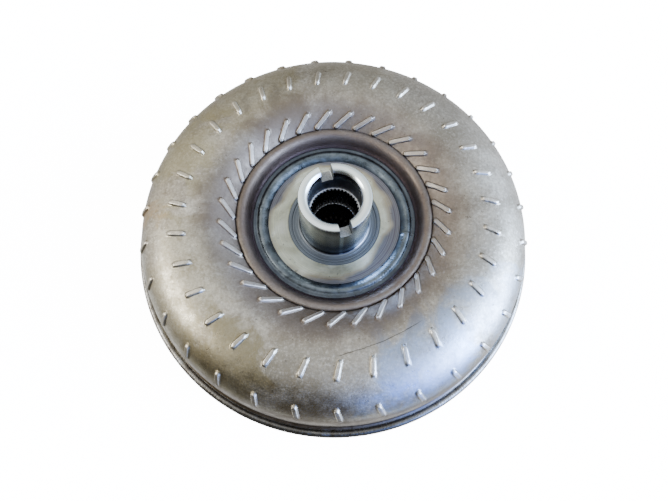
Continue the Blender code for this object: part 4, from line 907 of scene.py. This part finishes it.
def thread_ring(height):
    """Points of a tapped hole's wall at one height, where the thread winds past."""
    points = []
    for i in range(THREAD_STEPS):
        share = (i + 0.5) / THREAD_STEPS
        turn = (height / THREAD_PITCH - share) % 1.0
        radius = THREAD_RADIUS + THREAD_DEPTH * (1 - abs(2 * turn - 1))
        angle = 2 * math.pi * share
        points.append((radius * math.cos(angle), radius * math.sin(angle), height))
    return points


# Forged bar steel, dull grey with a brown film, and bright where the lug's face was milled.
forged_steel, spot = new_material("forged_and_milled_steel")
ways, *_ = measured(spot)
patches = cloud(spot, 12.0, detail=5.0)
grit = cloud(spot, 1.2, detail=3.0)
colour = ramp(patches, (0.36, "#6E6860"), (0.64, "#8F8B84"))
colour = tinted(colour, (ways["Z"], 0.9, 0.3, 1.0, "#B4B4B0"))
surfaced(colour, span(patches, 0.3, 0.7, 0.32, 0.46), grit, 0.10)

for index in range(LUGS):
    rings = [[(x, y, level) for x, y in rounded_block(0.0)] for level in (LUG_EDGE, LUG_TOP)]
    steps = round(LUG_TOP / THREAD_PITCH * THREAD_RINGS)
    rings += [thread_ring(LUG_TOP * (1 - i / steps) - MOUTH_DROP) for i in range(steps)]
    rings.append([(x * MOUTH_FLARE, y * MOUTH_FLARE, MOUTH_DROP) for x, y, _ in thread_ring(0.0)])
    rings.append([(x, y, 0.0) for x, y in rounded_block(LUG_EDGE)])
    shape = lofted(rings)
    bmesh.ops.translate(shape, vec=(LUG_CIRCLE, 0, 0), verts=shape.verts)
    turned(shape, 360 * index / LUGS)
    name = f"drive_lug_{index + 1}"
    finish_piece(f"{name}_forged", shape, forged_steel, "housing", "lug_steel", name)

beads = bmesh.new()
for side in (-1, 1):
    rings = []
    for i in range(BEAD_SECTIONS + 1):
        run = 2 * i / BEAD_SECTIONS - 1
        along = run * (LUG_HALF_LENGTH - BEAD_END)
        size = ease((1 - abs(run)) * BEAD_GROWTH + BEAD_END_SIZE)
        size *= 1 + BEAD_RIPPLE * math.sin(2 * math.pi * along / RIPPLE)
        section = []
        for out, height in LUG_BEAD:
            across = LUG_CIRCLE + side * (LUG_HALF_WIDTH + out * size)
            section.append((across, along, BEAD_FOOT - (BEAD_FOOT - height) * size))
        rings.append(section)
    gather(beads, lofted(rings, looped=False))
copied_round(beads, LUGS)
finish_piece("drive_lug_welds", beads, brushed_weld, "housing", "weld_steel", crease=50.0)


# Inner race of the stator's one-way clutch: a hardened ring with a long splined collar up the hub's bore.
# Its 40 broached teeth hold it on the gearbox's fixed shaft, and dark oil lies between them.
RACE_TEETH = 40
RACE_TIP = 14.4
RACE_ROOT = 15.1
SPACE_SHARE = 0.4
FLANK_SHARE = 0.15


def toothed(shape, teeth, tip, root, low, high):
    """Draws a bore's wall in to a tooth's tip over each tooth, between two heights."""
    for vert in shape.verts:
        radius_here, azimuth = ring_place(vert)
        if not low < vert.co.z < high or abs(radius_here - root) > 0.01:
            continue
        share = azimuth / 360 * teeth % 1.0
        rise = min(max((share - SPACE_SHARE) / FLANK_SHARE, 0.0), 1.0) * min((1 - share) / FLANK_SHARE, 1.0)
        drawn = (root - (root - tip) * rise) / radius_here
        vert.co.x *= drawn
        vert.co.y *= drawn


# Hardened, ground and broached steel, with brown oil on its teeth and nearly black oil between them.
hard_steel, spot = new_material("hardened_ground_steel")
ways, _, radius = measured(spot)
height = ways["Z"]
oil = cloud(spot, 4.0, detail=5.0, roughness=0.7)
streaks = node("VectorMath", {0: spot, 1: (1.0, 1.0, 0.15)}, operation="MULTIPLY").outputs["Vector"]
scores = cloud(streaks, 1.0, detail=3.0)
colour = tinted(
    ramp(oil, (0.36, "#5C5E62"), (0.50, "#8E9194"), (0.62, "#B9BCBE")),
    (height, 89.7, 89.4, 0.75, "#3B383B"),
    (height, 89.8, 89.9, 1.0, "#EEF0F0"),
)
ledge = times(span(height, 68.8, 69.3), span(height, 70.1, 69.9))
ledge = times(ledge, span(radius, 14.5, 14.3))
colour = mixed(ledge, colour, srgb("#B9BCBE"))
bore = times(span(height, 69.0, 68.0), span(radius, 16.0, 15.0))
colour = mixed(bore, colour, srgb("#1C1A1A"))
dull = span(oil, 0.3, 0.7, 0.20, 0.40)
dull = summed(dull, span(height, 89.0, 89.9, 0.0, 0.25))
surfaced(colour, dull, scores, 0.04)

profile = [
    (13.9, 52.0), (13.9, 69.4), (14.2, 69.7), (RACE_ROOT, 69.75), (RACE_ROOT, 76.0), (RACE_ROOT, 82.0),
    (RACE_ROOT, 89.75), (15.25, 89.9), (17.2, 89.9), (17.6, 89.5), (17.6, 66.6), (17.8, 66.0), (18.3, 65.8),
    (29.5, 65.8), (30.0, 65.3), (30.0, 52.0), (29.5, 51.5), (14.4, 51.5),
]
shape = spun(profile, RACE_TEETH * 10)
toothed(shape, RACE_TEETH, RACE_TIP, RACE_ROOT, low=69.72, high=89.8)
race = ("clutch_inner_race_broached", shape, hard_steel, "stator_race", "hard_steel", "clutch_inner_race")
finish_piece(*race)


# Turbine hub: a turned hub with a broached bore for the gearbox's input shaft and a flange for the turbine.
# The piston slides on its lower end, over a seal ring in a groove.
HUB_TEETH = 24
HUB_TIP = 12.5
HUB_ROOT = 13.6
profile = [
    (14.2, 20.6), (23.6, 20.6), (24.0, 21.0), (24.0, 24.8), (21.5, 24.8), (21.5, 27.2), (24.0, 27.2),
    (24.0, 40.0), (45.6, 40.0), (46.0, 40.4), (46.0, 44.1), (45.6, 44.5), (34.4, 44.5), (34.0, 44.9),
    (34.0, 47.9), (33.6, 48.3), (14.2, 48.3), (HUB_ROOT, 47.7), (HUB_ROOT, 41.0), (HUB_ROOT, 34.4),
    (HUB_ROOT, 28.0), (HUB_ROOT, 21.2),
]
shape = spun(profile, HUB_TEETH * 10)
toothed(shape, HUB_TEETH, HUB_TIP, HUB_ROOT, low=21.1, high=47.8)
finish_piece("turbine_hub_broached", shape, hard_steel, "turbine", "machined_steel", "turbine_hub")


# Turbine shell: a half torus pressed from thin sheet, whose flat inner flange is riveted to the turbine hub.
# It turns inside the housing, a millimetre clear of the impeller shell.
TURBINE_MIDDLE = 61.5
TURBINE_LIP = 60.0
TURBINE_SHOULDER = 4.0
TURBINE_WALL = 118.0
TURBINE_DEPTH = 26.0
TURBINE_CURVE = 33.0
TURBINE_SHEET = 2.0
FLANGE_TOP = 46.8
FLANGE_BORE = 34.3


def turbine_line(depth, steps):
    """Profile from the turbine's wall over its floor to its flange, this deep below the flow face."""
    drop = TURBINE_DEPTH + depth - TURBINE_SHOULDER
    points = dome_arc(TURBINE_WALL + depth, TURBINE_MIDDLE - TURBINE_SHOULDER, -drop, steps)
    centre = (CROWN, TURBINE_MIDDLE - TURBINE_DEPTH + TURBINE_CURVE)
    slope = math.degrees(math.asin((centre[1] - FLANGE_TOP + depth) / (TURBINE_CURVE + depth)))
    return points + corner_arc(centre, TURBINE_CURVE + depth, 270, 180 + slope, steps // 2)[1:]


# Cold-pressed low-carbon sheet, clean under its film of gearbox oil, with the faint run of the press.
pressed_steel = patchy(
    "oiled_cold_pressed_steel",
    (24.0, 5.0),
    ((0.35, "#8C8A86"), (0.65, "#ABA9A4")),
    (0.26, 0.40),
    0.05,
    grain=(1.2, 3.0),
    film=(0.52, 0.66, 0.35, "#9A8C70"),
)

profile = [(TURBINE_WALL + TURBINE_SHEET, TURBINE_LIP - 0.2)] + turbine_line(TURBINE_SHEET, 28)
profile += [(FLANGE_BORE + 0.3, FLANGE_TOP - TURBINE_SHEET), (FLANGE_BORE, FLANGE_TOP - TURBINE_SHEET + 0.3)]
profile += [(FLANGE_BORE, FLANGE_TOP - 0.3), (FLANGE_BORE + 0.3, FLANGE_TOP)]
profile += list(reversed(turbine_line(0.0, 28)))
profile += [(TURBINE_WALL, TURBINE_LIP - 0.2), (TURBINE_WALL + 0.2, TURBINE_LIP)]
profile.append((TURBINE_WALL + 1.8, TURBINE_LIP))
shape = spun(profile, 180)
finish_piece("turbine_shell_pressed", shape, pressed_steel, "turbine", "plain_steel", "turbine_shell")


# Rivets: six solid steel rivets through the turbine shell's flange and the hub's, with domed heads.
# Each is closed cold, so its heads are bright.
RIVETS = 6
RIVET_CIRCLE = 40.0
RIVET_SHANK = 2.4
RIVET_HEAD = 4.2
RIVET_ENDS = (38.1, 48.7)
RIVET_HEAD_HEIGHT = 1.6

half = [(RIVET_HEAD, 0.0), (4.1, 0.35), (3.7, 0.85), (3.0, 1.25), (2.0, 1.5)]
half += [(1.0, RIVET_HEAD_HEIGHT), (0.0, RIVET_HEAD_HEIGHT)]
low, high = RIVET_ENDS[0] + RIVET_HEAD_HEIGHT, RIVET_ENDS[1] - RIVET_HEAD_HEIGHT
for index in range(RIVETS):
    profile = [(radius, high + rise) for radius, rise in reversed(half)]
    profile += [(RIVET_SHANK, high), (RIVET_SHANK, low)]
    profile += [(radius, low - rise) for radius, rise in half]
    shape = spun(profile, 20, closed=False)
    bmesh.ops.translate(shape, vec=polar(RIVET_CIRCLE, 360 / RIVETS * index), verts=shape.verts)
    name = f"turbine_rivet_{index + 1}"
    finish_piece(f"{name}_headed", shape, pressed_steel, "turbine", "plain_steel", name)


# Lock-up piston: a dished disc pressed from plate, whose collar slides on the turbine hub.
# Six notches in its lip drive the spring retainer.
PISTON_RIM = 118.0
PISTON_BORE = 24.4
PISTON_BOTTOM = 17.8
PISTON_PLATE = 2.5
PISTON_RISE = 3.3
PISTON_LIP = 30.3
NOTCH_BOTTOM = 20.6
NOTCH_HALF = 6.3
NOTCHES = 6
# Share of the lip's height that is left in a notch
NOTCH_LEFT = 0.02

low, high = PISTON_BOTTOM + PISTON_RISE, PISTON_BOTTOM + PISTON_PLATE + PISTON_RISE
top = PISTON_BOTTOM + PISTON_PLATE
wall = PISTON_RIM - PISTON_PLATE
profile = [(PISTON_RIM, PISTON_LIP - 0.3), (PISTON_RIM, PISTON_BOTTOM + 2.0)]
profile += corner_arc((PISTON_RIM - 2.0, PISTON_BOTTOM + 2.0), 2.0, 0, -90, 4)[1:]
profile += [
    (62.8, PISTON_BOTTOM), (61.2, PISTON_BOTTOM + 0.4), (54.4, low - 0.3), (52.4, low), (25.2, low),
    (PISTON_BORE, PISTON_BOTTOM + 4.1), (PISTON_BORE, 33.3), (PISTON_BORE + 0.3, 33.6), (26.6, 33.6),
    (26.9, 33.3), (26.9, high + 0.8), (27.7, high), (52.4, high), (54.4, high - 0.3), (61.2, top + 0.4),
    (62.8, top), (wall - 0.6, top), (wall, top + 0.28), (wall, PISTON_LIP - 0.3),
    (PISTON_RIM - 2.2, PISTON_LIP), (PISTON_RIM - 0.3, PISTON_LIP),
]
shape = spun(profile, 720)
for vert in shape.verts:
    radius_here, azimuth = ring_place(vert)
    azimuth %= 360 / NOTCHES
    aside = radius_here * math.sin(math.radians(min(azimuth, 360 / NOTCHES - azimuth)))
    if vert.co.z > NOTCH_BOTTOM and radius_here > PISTON_RIM - 3 and aside < NOTCH_HALF:
        vert.co.z = NOTCH_BOTTOM + (vert.co.z - NOTCH_BOTTOM) * NOTCH_LEFT
finish_piece("lockup_piston_pressed", shape, pressed_steel, "piston", "plain_steel", "lockup_piston")


# Friction lining: a ring of resin-bonded paper glued to the piston, with grooves that let the oil through.
# It is matt brown, and dark where it has soaked up oil.
LINING_BOTTOM = 16.3
LINING_TOP = 17.5
LINING_GROOVE = 0.6


def grooved(shape, count, width, level, depth):
    """Moves the face at a level by a depth, in radial grooves of this many degrees."""
    for vert in shape.verts:
        share = ring_place(vert)[1] % (360 / count)
        if abs(vert.co.z - level) < 0.01 and min(share, 360 / count - share) < width / 2:
            vert.co.z += depth


friction_paper = patchy(
    "oil_soaked_friction_paper",
    (9.0, 5.0),
    ((0.35, "#4A3A2C"), (0.65, "#6E573F")),
    (0.65, 0.85),
    0.15,
    grain=(0.7, 4.0, 0.7),
    flecks=(0.5, 0.7, 0.4, "#8A7252"),
    metallic=0.0,
)

shape = spun([(116.0, LINING_TOP), (116.0, LINING_BOTTOM), (97.0, LINING_BOTTOM), (97.0, LINING_TOP)], 720)
grooved(shape, count=30, width=0.9, level=LINING_BOTTOM, depth=LINING_GROOVE)
finish_piece("friction_lining_grooved", shape, friction_paper, "piston", "friction_paper", "friction_lining")


# Thrust washer between turbine hub and cover: moulded from the same kind of resin and fibre.
# Eight grooves across its upper face feed oil to the rubbing surfaces.
WASHER_TOP = 20.3


def ring_section(inner, outer, low, high, edge=0.2):
    """Section of a flat ring with its four edges broken."""
    return [
        (outer - edge, high), (outer, high - edge), (outer, low + edge), (outer - edge, low),
        (inner + edge, low), (inner, low + edge), (inner, high - edge), (inner + edge, high),
    ]


shape = spun(ring_section(17.6, 23.8, 18.3, WASHER_TOP), 240)
grooved(shape, count=8, width=6.1, level=WASHER_TOP, depth=-0.7)
name = "cover_thrust_washer"
finish_piece(f"{name}_moulded", shape, friction_paper, "housing", "friction_paper", name)


# Seal ring: a square-section ring in the turbine hub's groove, on which the piston's bore slides.
# It is a dark filled plastic, smooth from wear.
stops = ((0.35, "#191A1C"), (0.65, "#2A2B2E"))
black_seal = patchy("worn_black_seal_plastic", (3.0, 3.0), stops, (0.35, 0.5), 0.03, metallic=0.0)

shape = spun(ring_section(21.8, 24.1, 25.1, 26.9), 120)
finish_piece("piston_seal_ring_moulded", shape, black_seal, "turbine", "seal_black", "piston_seal_ring")


# Damper springs: four coils of round wire with closed, ground ends, lying round the retainer's channel.
# They take up the engine's shudder between the piston and the turbine.
SPRINGS = 4
SPRING_CIRCLE = 105.0
SPRING_HEIGHT = 27.8
COIL_RADIUS = 4.3
WIRE_RADIUS = 1.1
SPRING_LENGTH = 26.0
COIL_TURNS = 5.5
COIL_STEPS = 22
WIRE_STEPS = 10
# Turns at each end that lie closed, and how far they are ground down
CLOSED_TURNS = 0.75
GROUND = 0.15

stops = ((0.35, "#3E4248"), (0.65, "#61666C"))
spring_steel = patchy("oil_tempered_spring_steel", (5.0, 4.0), stops, (0.24, 0.36), 0.03)

for index in range(SPRINGS):
    rings = []
    count = round(COIL_TURNS * COIL_STEPS)
    run = SPRING_LENGTH - 2 * WIRE_RADIUS
    for i in range(count + 1):
        share = i / count
        angle = 2 * math.pi * COIL_TURNS * share
        closed = CLOSED_TURNS / COIL_TURNS
        along = min(max((share - closed) / (1 - 2 * closed), 0.0), 1.0) * (run - 2 * GROUND)
        along += GROUND * (share > 0.5)
        out = Vector((math.cos(angle), 0.0, math.sin(angle)))
        centre = out * COIL_RADIUS + Vector((SPRING_CIRCLE, along - run / 2, SPRING_HEIGHT))
        ring = []
        for corner in range(WIRE_STEPS):
            turn = 2 * math.pi * corner / WIRE_STEPS
            offset = out * math.cos(turn) * WIRE_RADIUS
            offset.y = math.sin(turn) * WIRE_RADIUS
            ring.append(centre + offset)
        rings.append(ring)
    shape = lofted(rings, looped=False)
    turned(shape, 360 * (index + 0.5) / SPRINGS)
    name = f"damper_spring_{index + 1}"
    finish_piece(f"{name}_coiled", shape, spring_steel, "damper", "spring_steel", name)


# Thrust bearings: two flat cages with radial needles, one on each side of the inner race.
# The needles are hardened and bright; the pressed cage is duller, but is drawn in the same steel here.
NEEDLES = 36
NEEDLE_START = 23.6
NEEDLE_LENGTH = 7.4
NEEDLE_RADIUS = 1.3
BEARING_HEIGHT = 2.6

section = [(0.0, 0.0), (NEEDLE_RADIUS - 0.2, 0.0), (NEEDLE_RADIUS, 0.2), (NEEDLE_RADIUS, NEEDLE_LENGTH - 0.2)]
section += [(NEEDLE_RADIUS - 0.2, NEEDLE_LENGTH), (0.0, NEEDLE_LENGTH)]
lying = Matrix.Rotation(math.pi / 2, 3, "Y")
for name, bottom in (("front_thrust_bearing", 48.6), ("rear_thrust_bearing", 66.1)):
    low, high = bottom + 0.7, bottom + BEARING_HEIGHT - 0.7
    shape = spun([(32.5, high), (32.5, low), (21.5, low), (21.5, high)], 120)
    for index in range(NEEDLES):
        needle = spun(section, 12, closed=False)
        bmesh.ops.rotate(needle, cent=(0, 0, 0), matrix=lying, verts=needle.verts)
        bmesh.ops.translate(needle, vec=(NEEDLE_START, 0, bottom + BEARING_HEIGHT / 2), verts=needle.verts)
        turned(needle, 360 / NEEDLES * index)
        gather(shape, needle)
    finish_piece(f"{name}_caged", shape, hard_steel, "stator_race", "hard_steel", name)


# Stator wheel: one aluminium die casting, with 15 thick curved blades between its hub and outer ring.
# The one-way clutch sits in its bore, behind a snap ring.
STATOR_BLADES = 15
STATOR_TOP = 68.8
STATOR_BOTTOM = 48.3
STATOR_BORE = 47.0
STATOR_FLOW = 57.5
STATOR_RING = (78.3, 80.5)
VANE_HEIGHTS = (53.3, 66.8)
VANE_THICKNESS = 4.2
VANE_STEPS = 12
# Radii of a blade's sections with the share that each is swollen by
VANE_SECTIONS = ((STATOR_FLOW - 1.0, 0.8), (68.0, 1.0), (STATOR_RING[0] + 1.0, 1.15))
# Start, slope and bend of a section's middle line, and its half thickness along the way and at its ends
VANE_LINE = (0.05, 1.9, 3.05)
VANE_HALF = (1.5, 0.04)

cast_aluminium = patchy(
    "die_cast_aluminium",
    (10.0, 5.0),
    ((0.35, "#A9ABAC"), (0.65, "#C9CBCB")),
    (0.38, 0.55),
    0.10,
    grain=(0.9, 4.0),
)

profile = [
    (STATOR_FLOW, STATOR_TOP - 0.5), (STATOR_FLOW, STATOR_BOTTOM + 0.5), (57.0, STATOR_BOTTOM),
    (47.5, STATOR_BOTTOM), (STATOR_BORE, 48.8), (STATOR_BORE, 48.85), (48.4, 48.85), (48.4, 50.4),
    (STATOR_BORE, 50.4), (STATOR_BORE, 65.2), (38.0, 65.2), (38.0, STATOR_TOP - 0.4), (38.4, STATOR_TOP),
    (57.0, STATOR_TOP),
]
shape = spun(profile, 180)
inner, outer = STATOR_RING
low, high = STATOR_BOTTOM + 4.5, STATOR_TOP - 1.5
profile = [(outer, high - 0.4), (outer, low + 0.4), (outer - 0.4, low), (inner, low), (inner, high)]
gather(shape, spun(profile + [(outer - 0.4, high)], 180))
low, high = VANE_HEIGHTS
start, slope, bend = VANE_LINE
for index in range(STATOR_BLADES):
    rings = []
    for radius, swell in VANE_SECTIONS:
        one, other = [], []
        for step in range(VANE_STEPS + 1):
            up = step / VANE_STEPS
            middle = start + slope * up - bend * up**2
            half = VANE_HALF[0] * math.sqrt(up) * (1 - up) + VANE_HALF[1]
            for side, line in ((1, one), (-1, other)):
                across = math.degrees((middle + side * half) * swell * VANE_THICKNESS / radius)
                line.append(polar(radius, 360 / STATOR_BLADES * index + across, low + up * (high - low)))
        rings.append(one + other[::-1])
    gather(shape, lofted(rings, looped=False))
wheel = ("stator_wheel_cast", shape, cast_aluminium, "stator", "cast_aluminium", "stator_wheel")
finish_piece(*wheel, crease=40.0)


# One-way clutch: a broached cam ring, eight rollers, a cage with leaf springs, a side plate and a snap ring.
# The rollers jam on the ramps when the stator is pushed backwards and run free the other way.
CAM_OUTER = 46.7
CAM_ENDS = (52.4, 64.9)
CAM_LAND = 31.2
CAM_POCKET = 36.6
CAM_RAMP = 1.0
ROLLERS = 8
ROLLER_CIRCLE = 33.15
ROLLER_SHARE = -0.12
SNAP_GAP = 24.0
SNAP_STEPS = 112
# Share of a pocket's turn, and the radius there
POCKET = (
    (-0.36, CAM_LAND), (-0.34, CAM_POCKET), (-0.12, CAM_POCKET + CAM_RAMP / 2), (0.12, CAM_POCKET + CAM_RAMP),
    (0.36, CAM_POCKET + CAM_RAMP), (0.38, CAM_LAND), (0.45, CAM_LAND), (0.55, CAM_LAND), (0.60, CAM_LAND),
)

inside, outside = [], []
for pocket in range(ROLLERS):
    for (start, low), (end, high) in zip(POCKET, POCKET[1:] + ((1 + POCKET[0][0], POCKET[0][1]),)):
        for step in range(3):
            share = start + (end - start) * step / 3
            azimuth = (pocket + share) * 360 / ROLLERS
            inside.append((low + (high - low) * step / 3, azimuth))
            outside.append(azimuth)
low, high = CAM_ENDS
rings = [[polar(radius, azimuth, level) for radius, azimuth in inside] for level in CAM_ENDS]
outer_edge = ((CAM_OUTER - 0.5, high - MOUTH_DROP), (CAM_OUTER, high - 0.5), (CAM_OUTER, low + 0.5))
for radius, level in outer_edge + ((CAM_OUTER - 0.5, low + MOUTH_DROP),):
    rings.append([polar(radius, azimuth, level) for azimuth in outside])
finish_piece("clutch_cam_ring_broached", lofted(rings), hard_steel, "stator", "hard_steel", "clutch_cam_ring")

profile = [(0.0, 52.7), (2.7, 52.7), (3.0, 53.0), (3.0, 64.3), (2.7, 64.6), (0.0, 64.6)]
for index in range(ROLLERS):
    shape = spun(profile, 28, closed=False)
    middle = polar(ROLLER_CIRCLE, (index + ROLLER_SHARE) * 360 / ROLLERS)
    bmesh.ops.translate(shape, vec=middle, verts=shape.verts)
    name = f"clutch_roller_{index + 1}"
    finish_piece(f"{name}_ground", shape, hard_steel, "stator", "hard_steel", name)

shape = spun(ring_section(32.9, 46.7, 50.5, 52.1), 150)
name = "clutch_side_plate"
finish_piece(f"{name}_turned", shape, pressed_steel, "stator", "plain_steel", name)

section = ring_section(44.8, 47.8, 48.9, 50.2)
rings = []
for i in range(SNAP_STEPS + 1):
    azimuth = SNAP_GAP / 2 + (360 - SNAP_GAP) * i / SNAP_STEPS
    rings.append([polar(radius, azimuth, level) for radius, level in section])
shape = lofted(rings, looped=False)
finish_piece("stator_snap_ring_wound", shape, spring_steel, "stator", "spring_steel", "stator_snap_ring")


# Pieces whose solids are right as they are: blade rings, claw ring, spring retainer and the clutch's cage.
# The blades are thin pressed sheet, brazed to their guide rings with a golden film of braze along the joints.
brazed_steel = patchy(
    "brazed_pressed_blade_steel",
    (12.0, 6.0),
    ((0.35, "#85817A"), (0.65, "#A6A299")),
    (0.28, 0.42),
    0.06,
    grain=(1.2, 3.0),
    film=(0.54, 0.68, 0.6, "#A88450"),
)

for name, material in (
    ("impeller_blades", brazed_steel),
    ("turbine_blades", brazed_steel),
    ("damper_claw_ring", pressed_steel),
    ("spring_retainer", pressed_steel),
    ("clutch_spring_cage", spring_steel),
):
    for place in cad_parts[name].material_slots:
        place.material = material
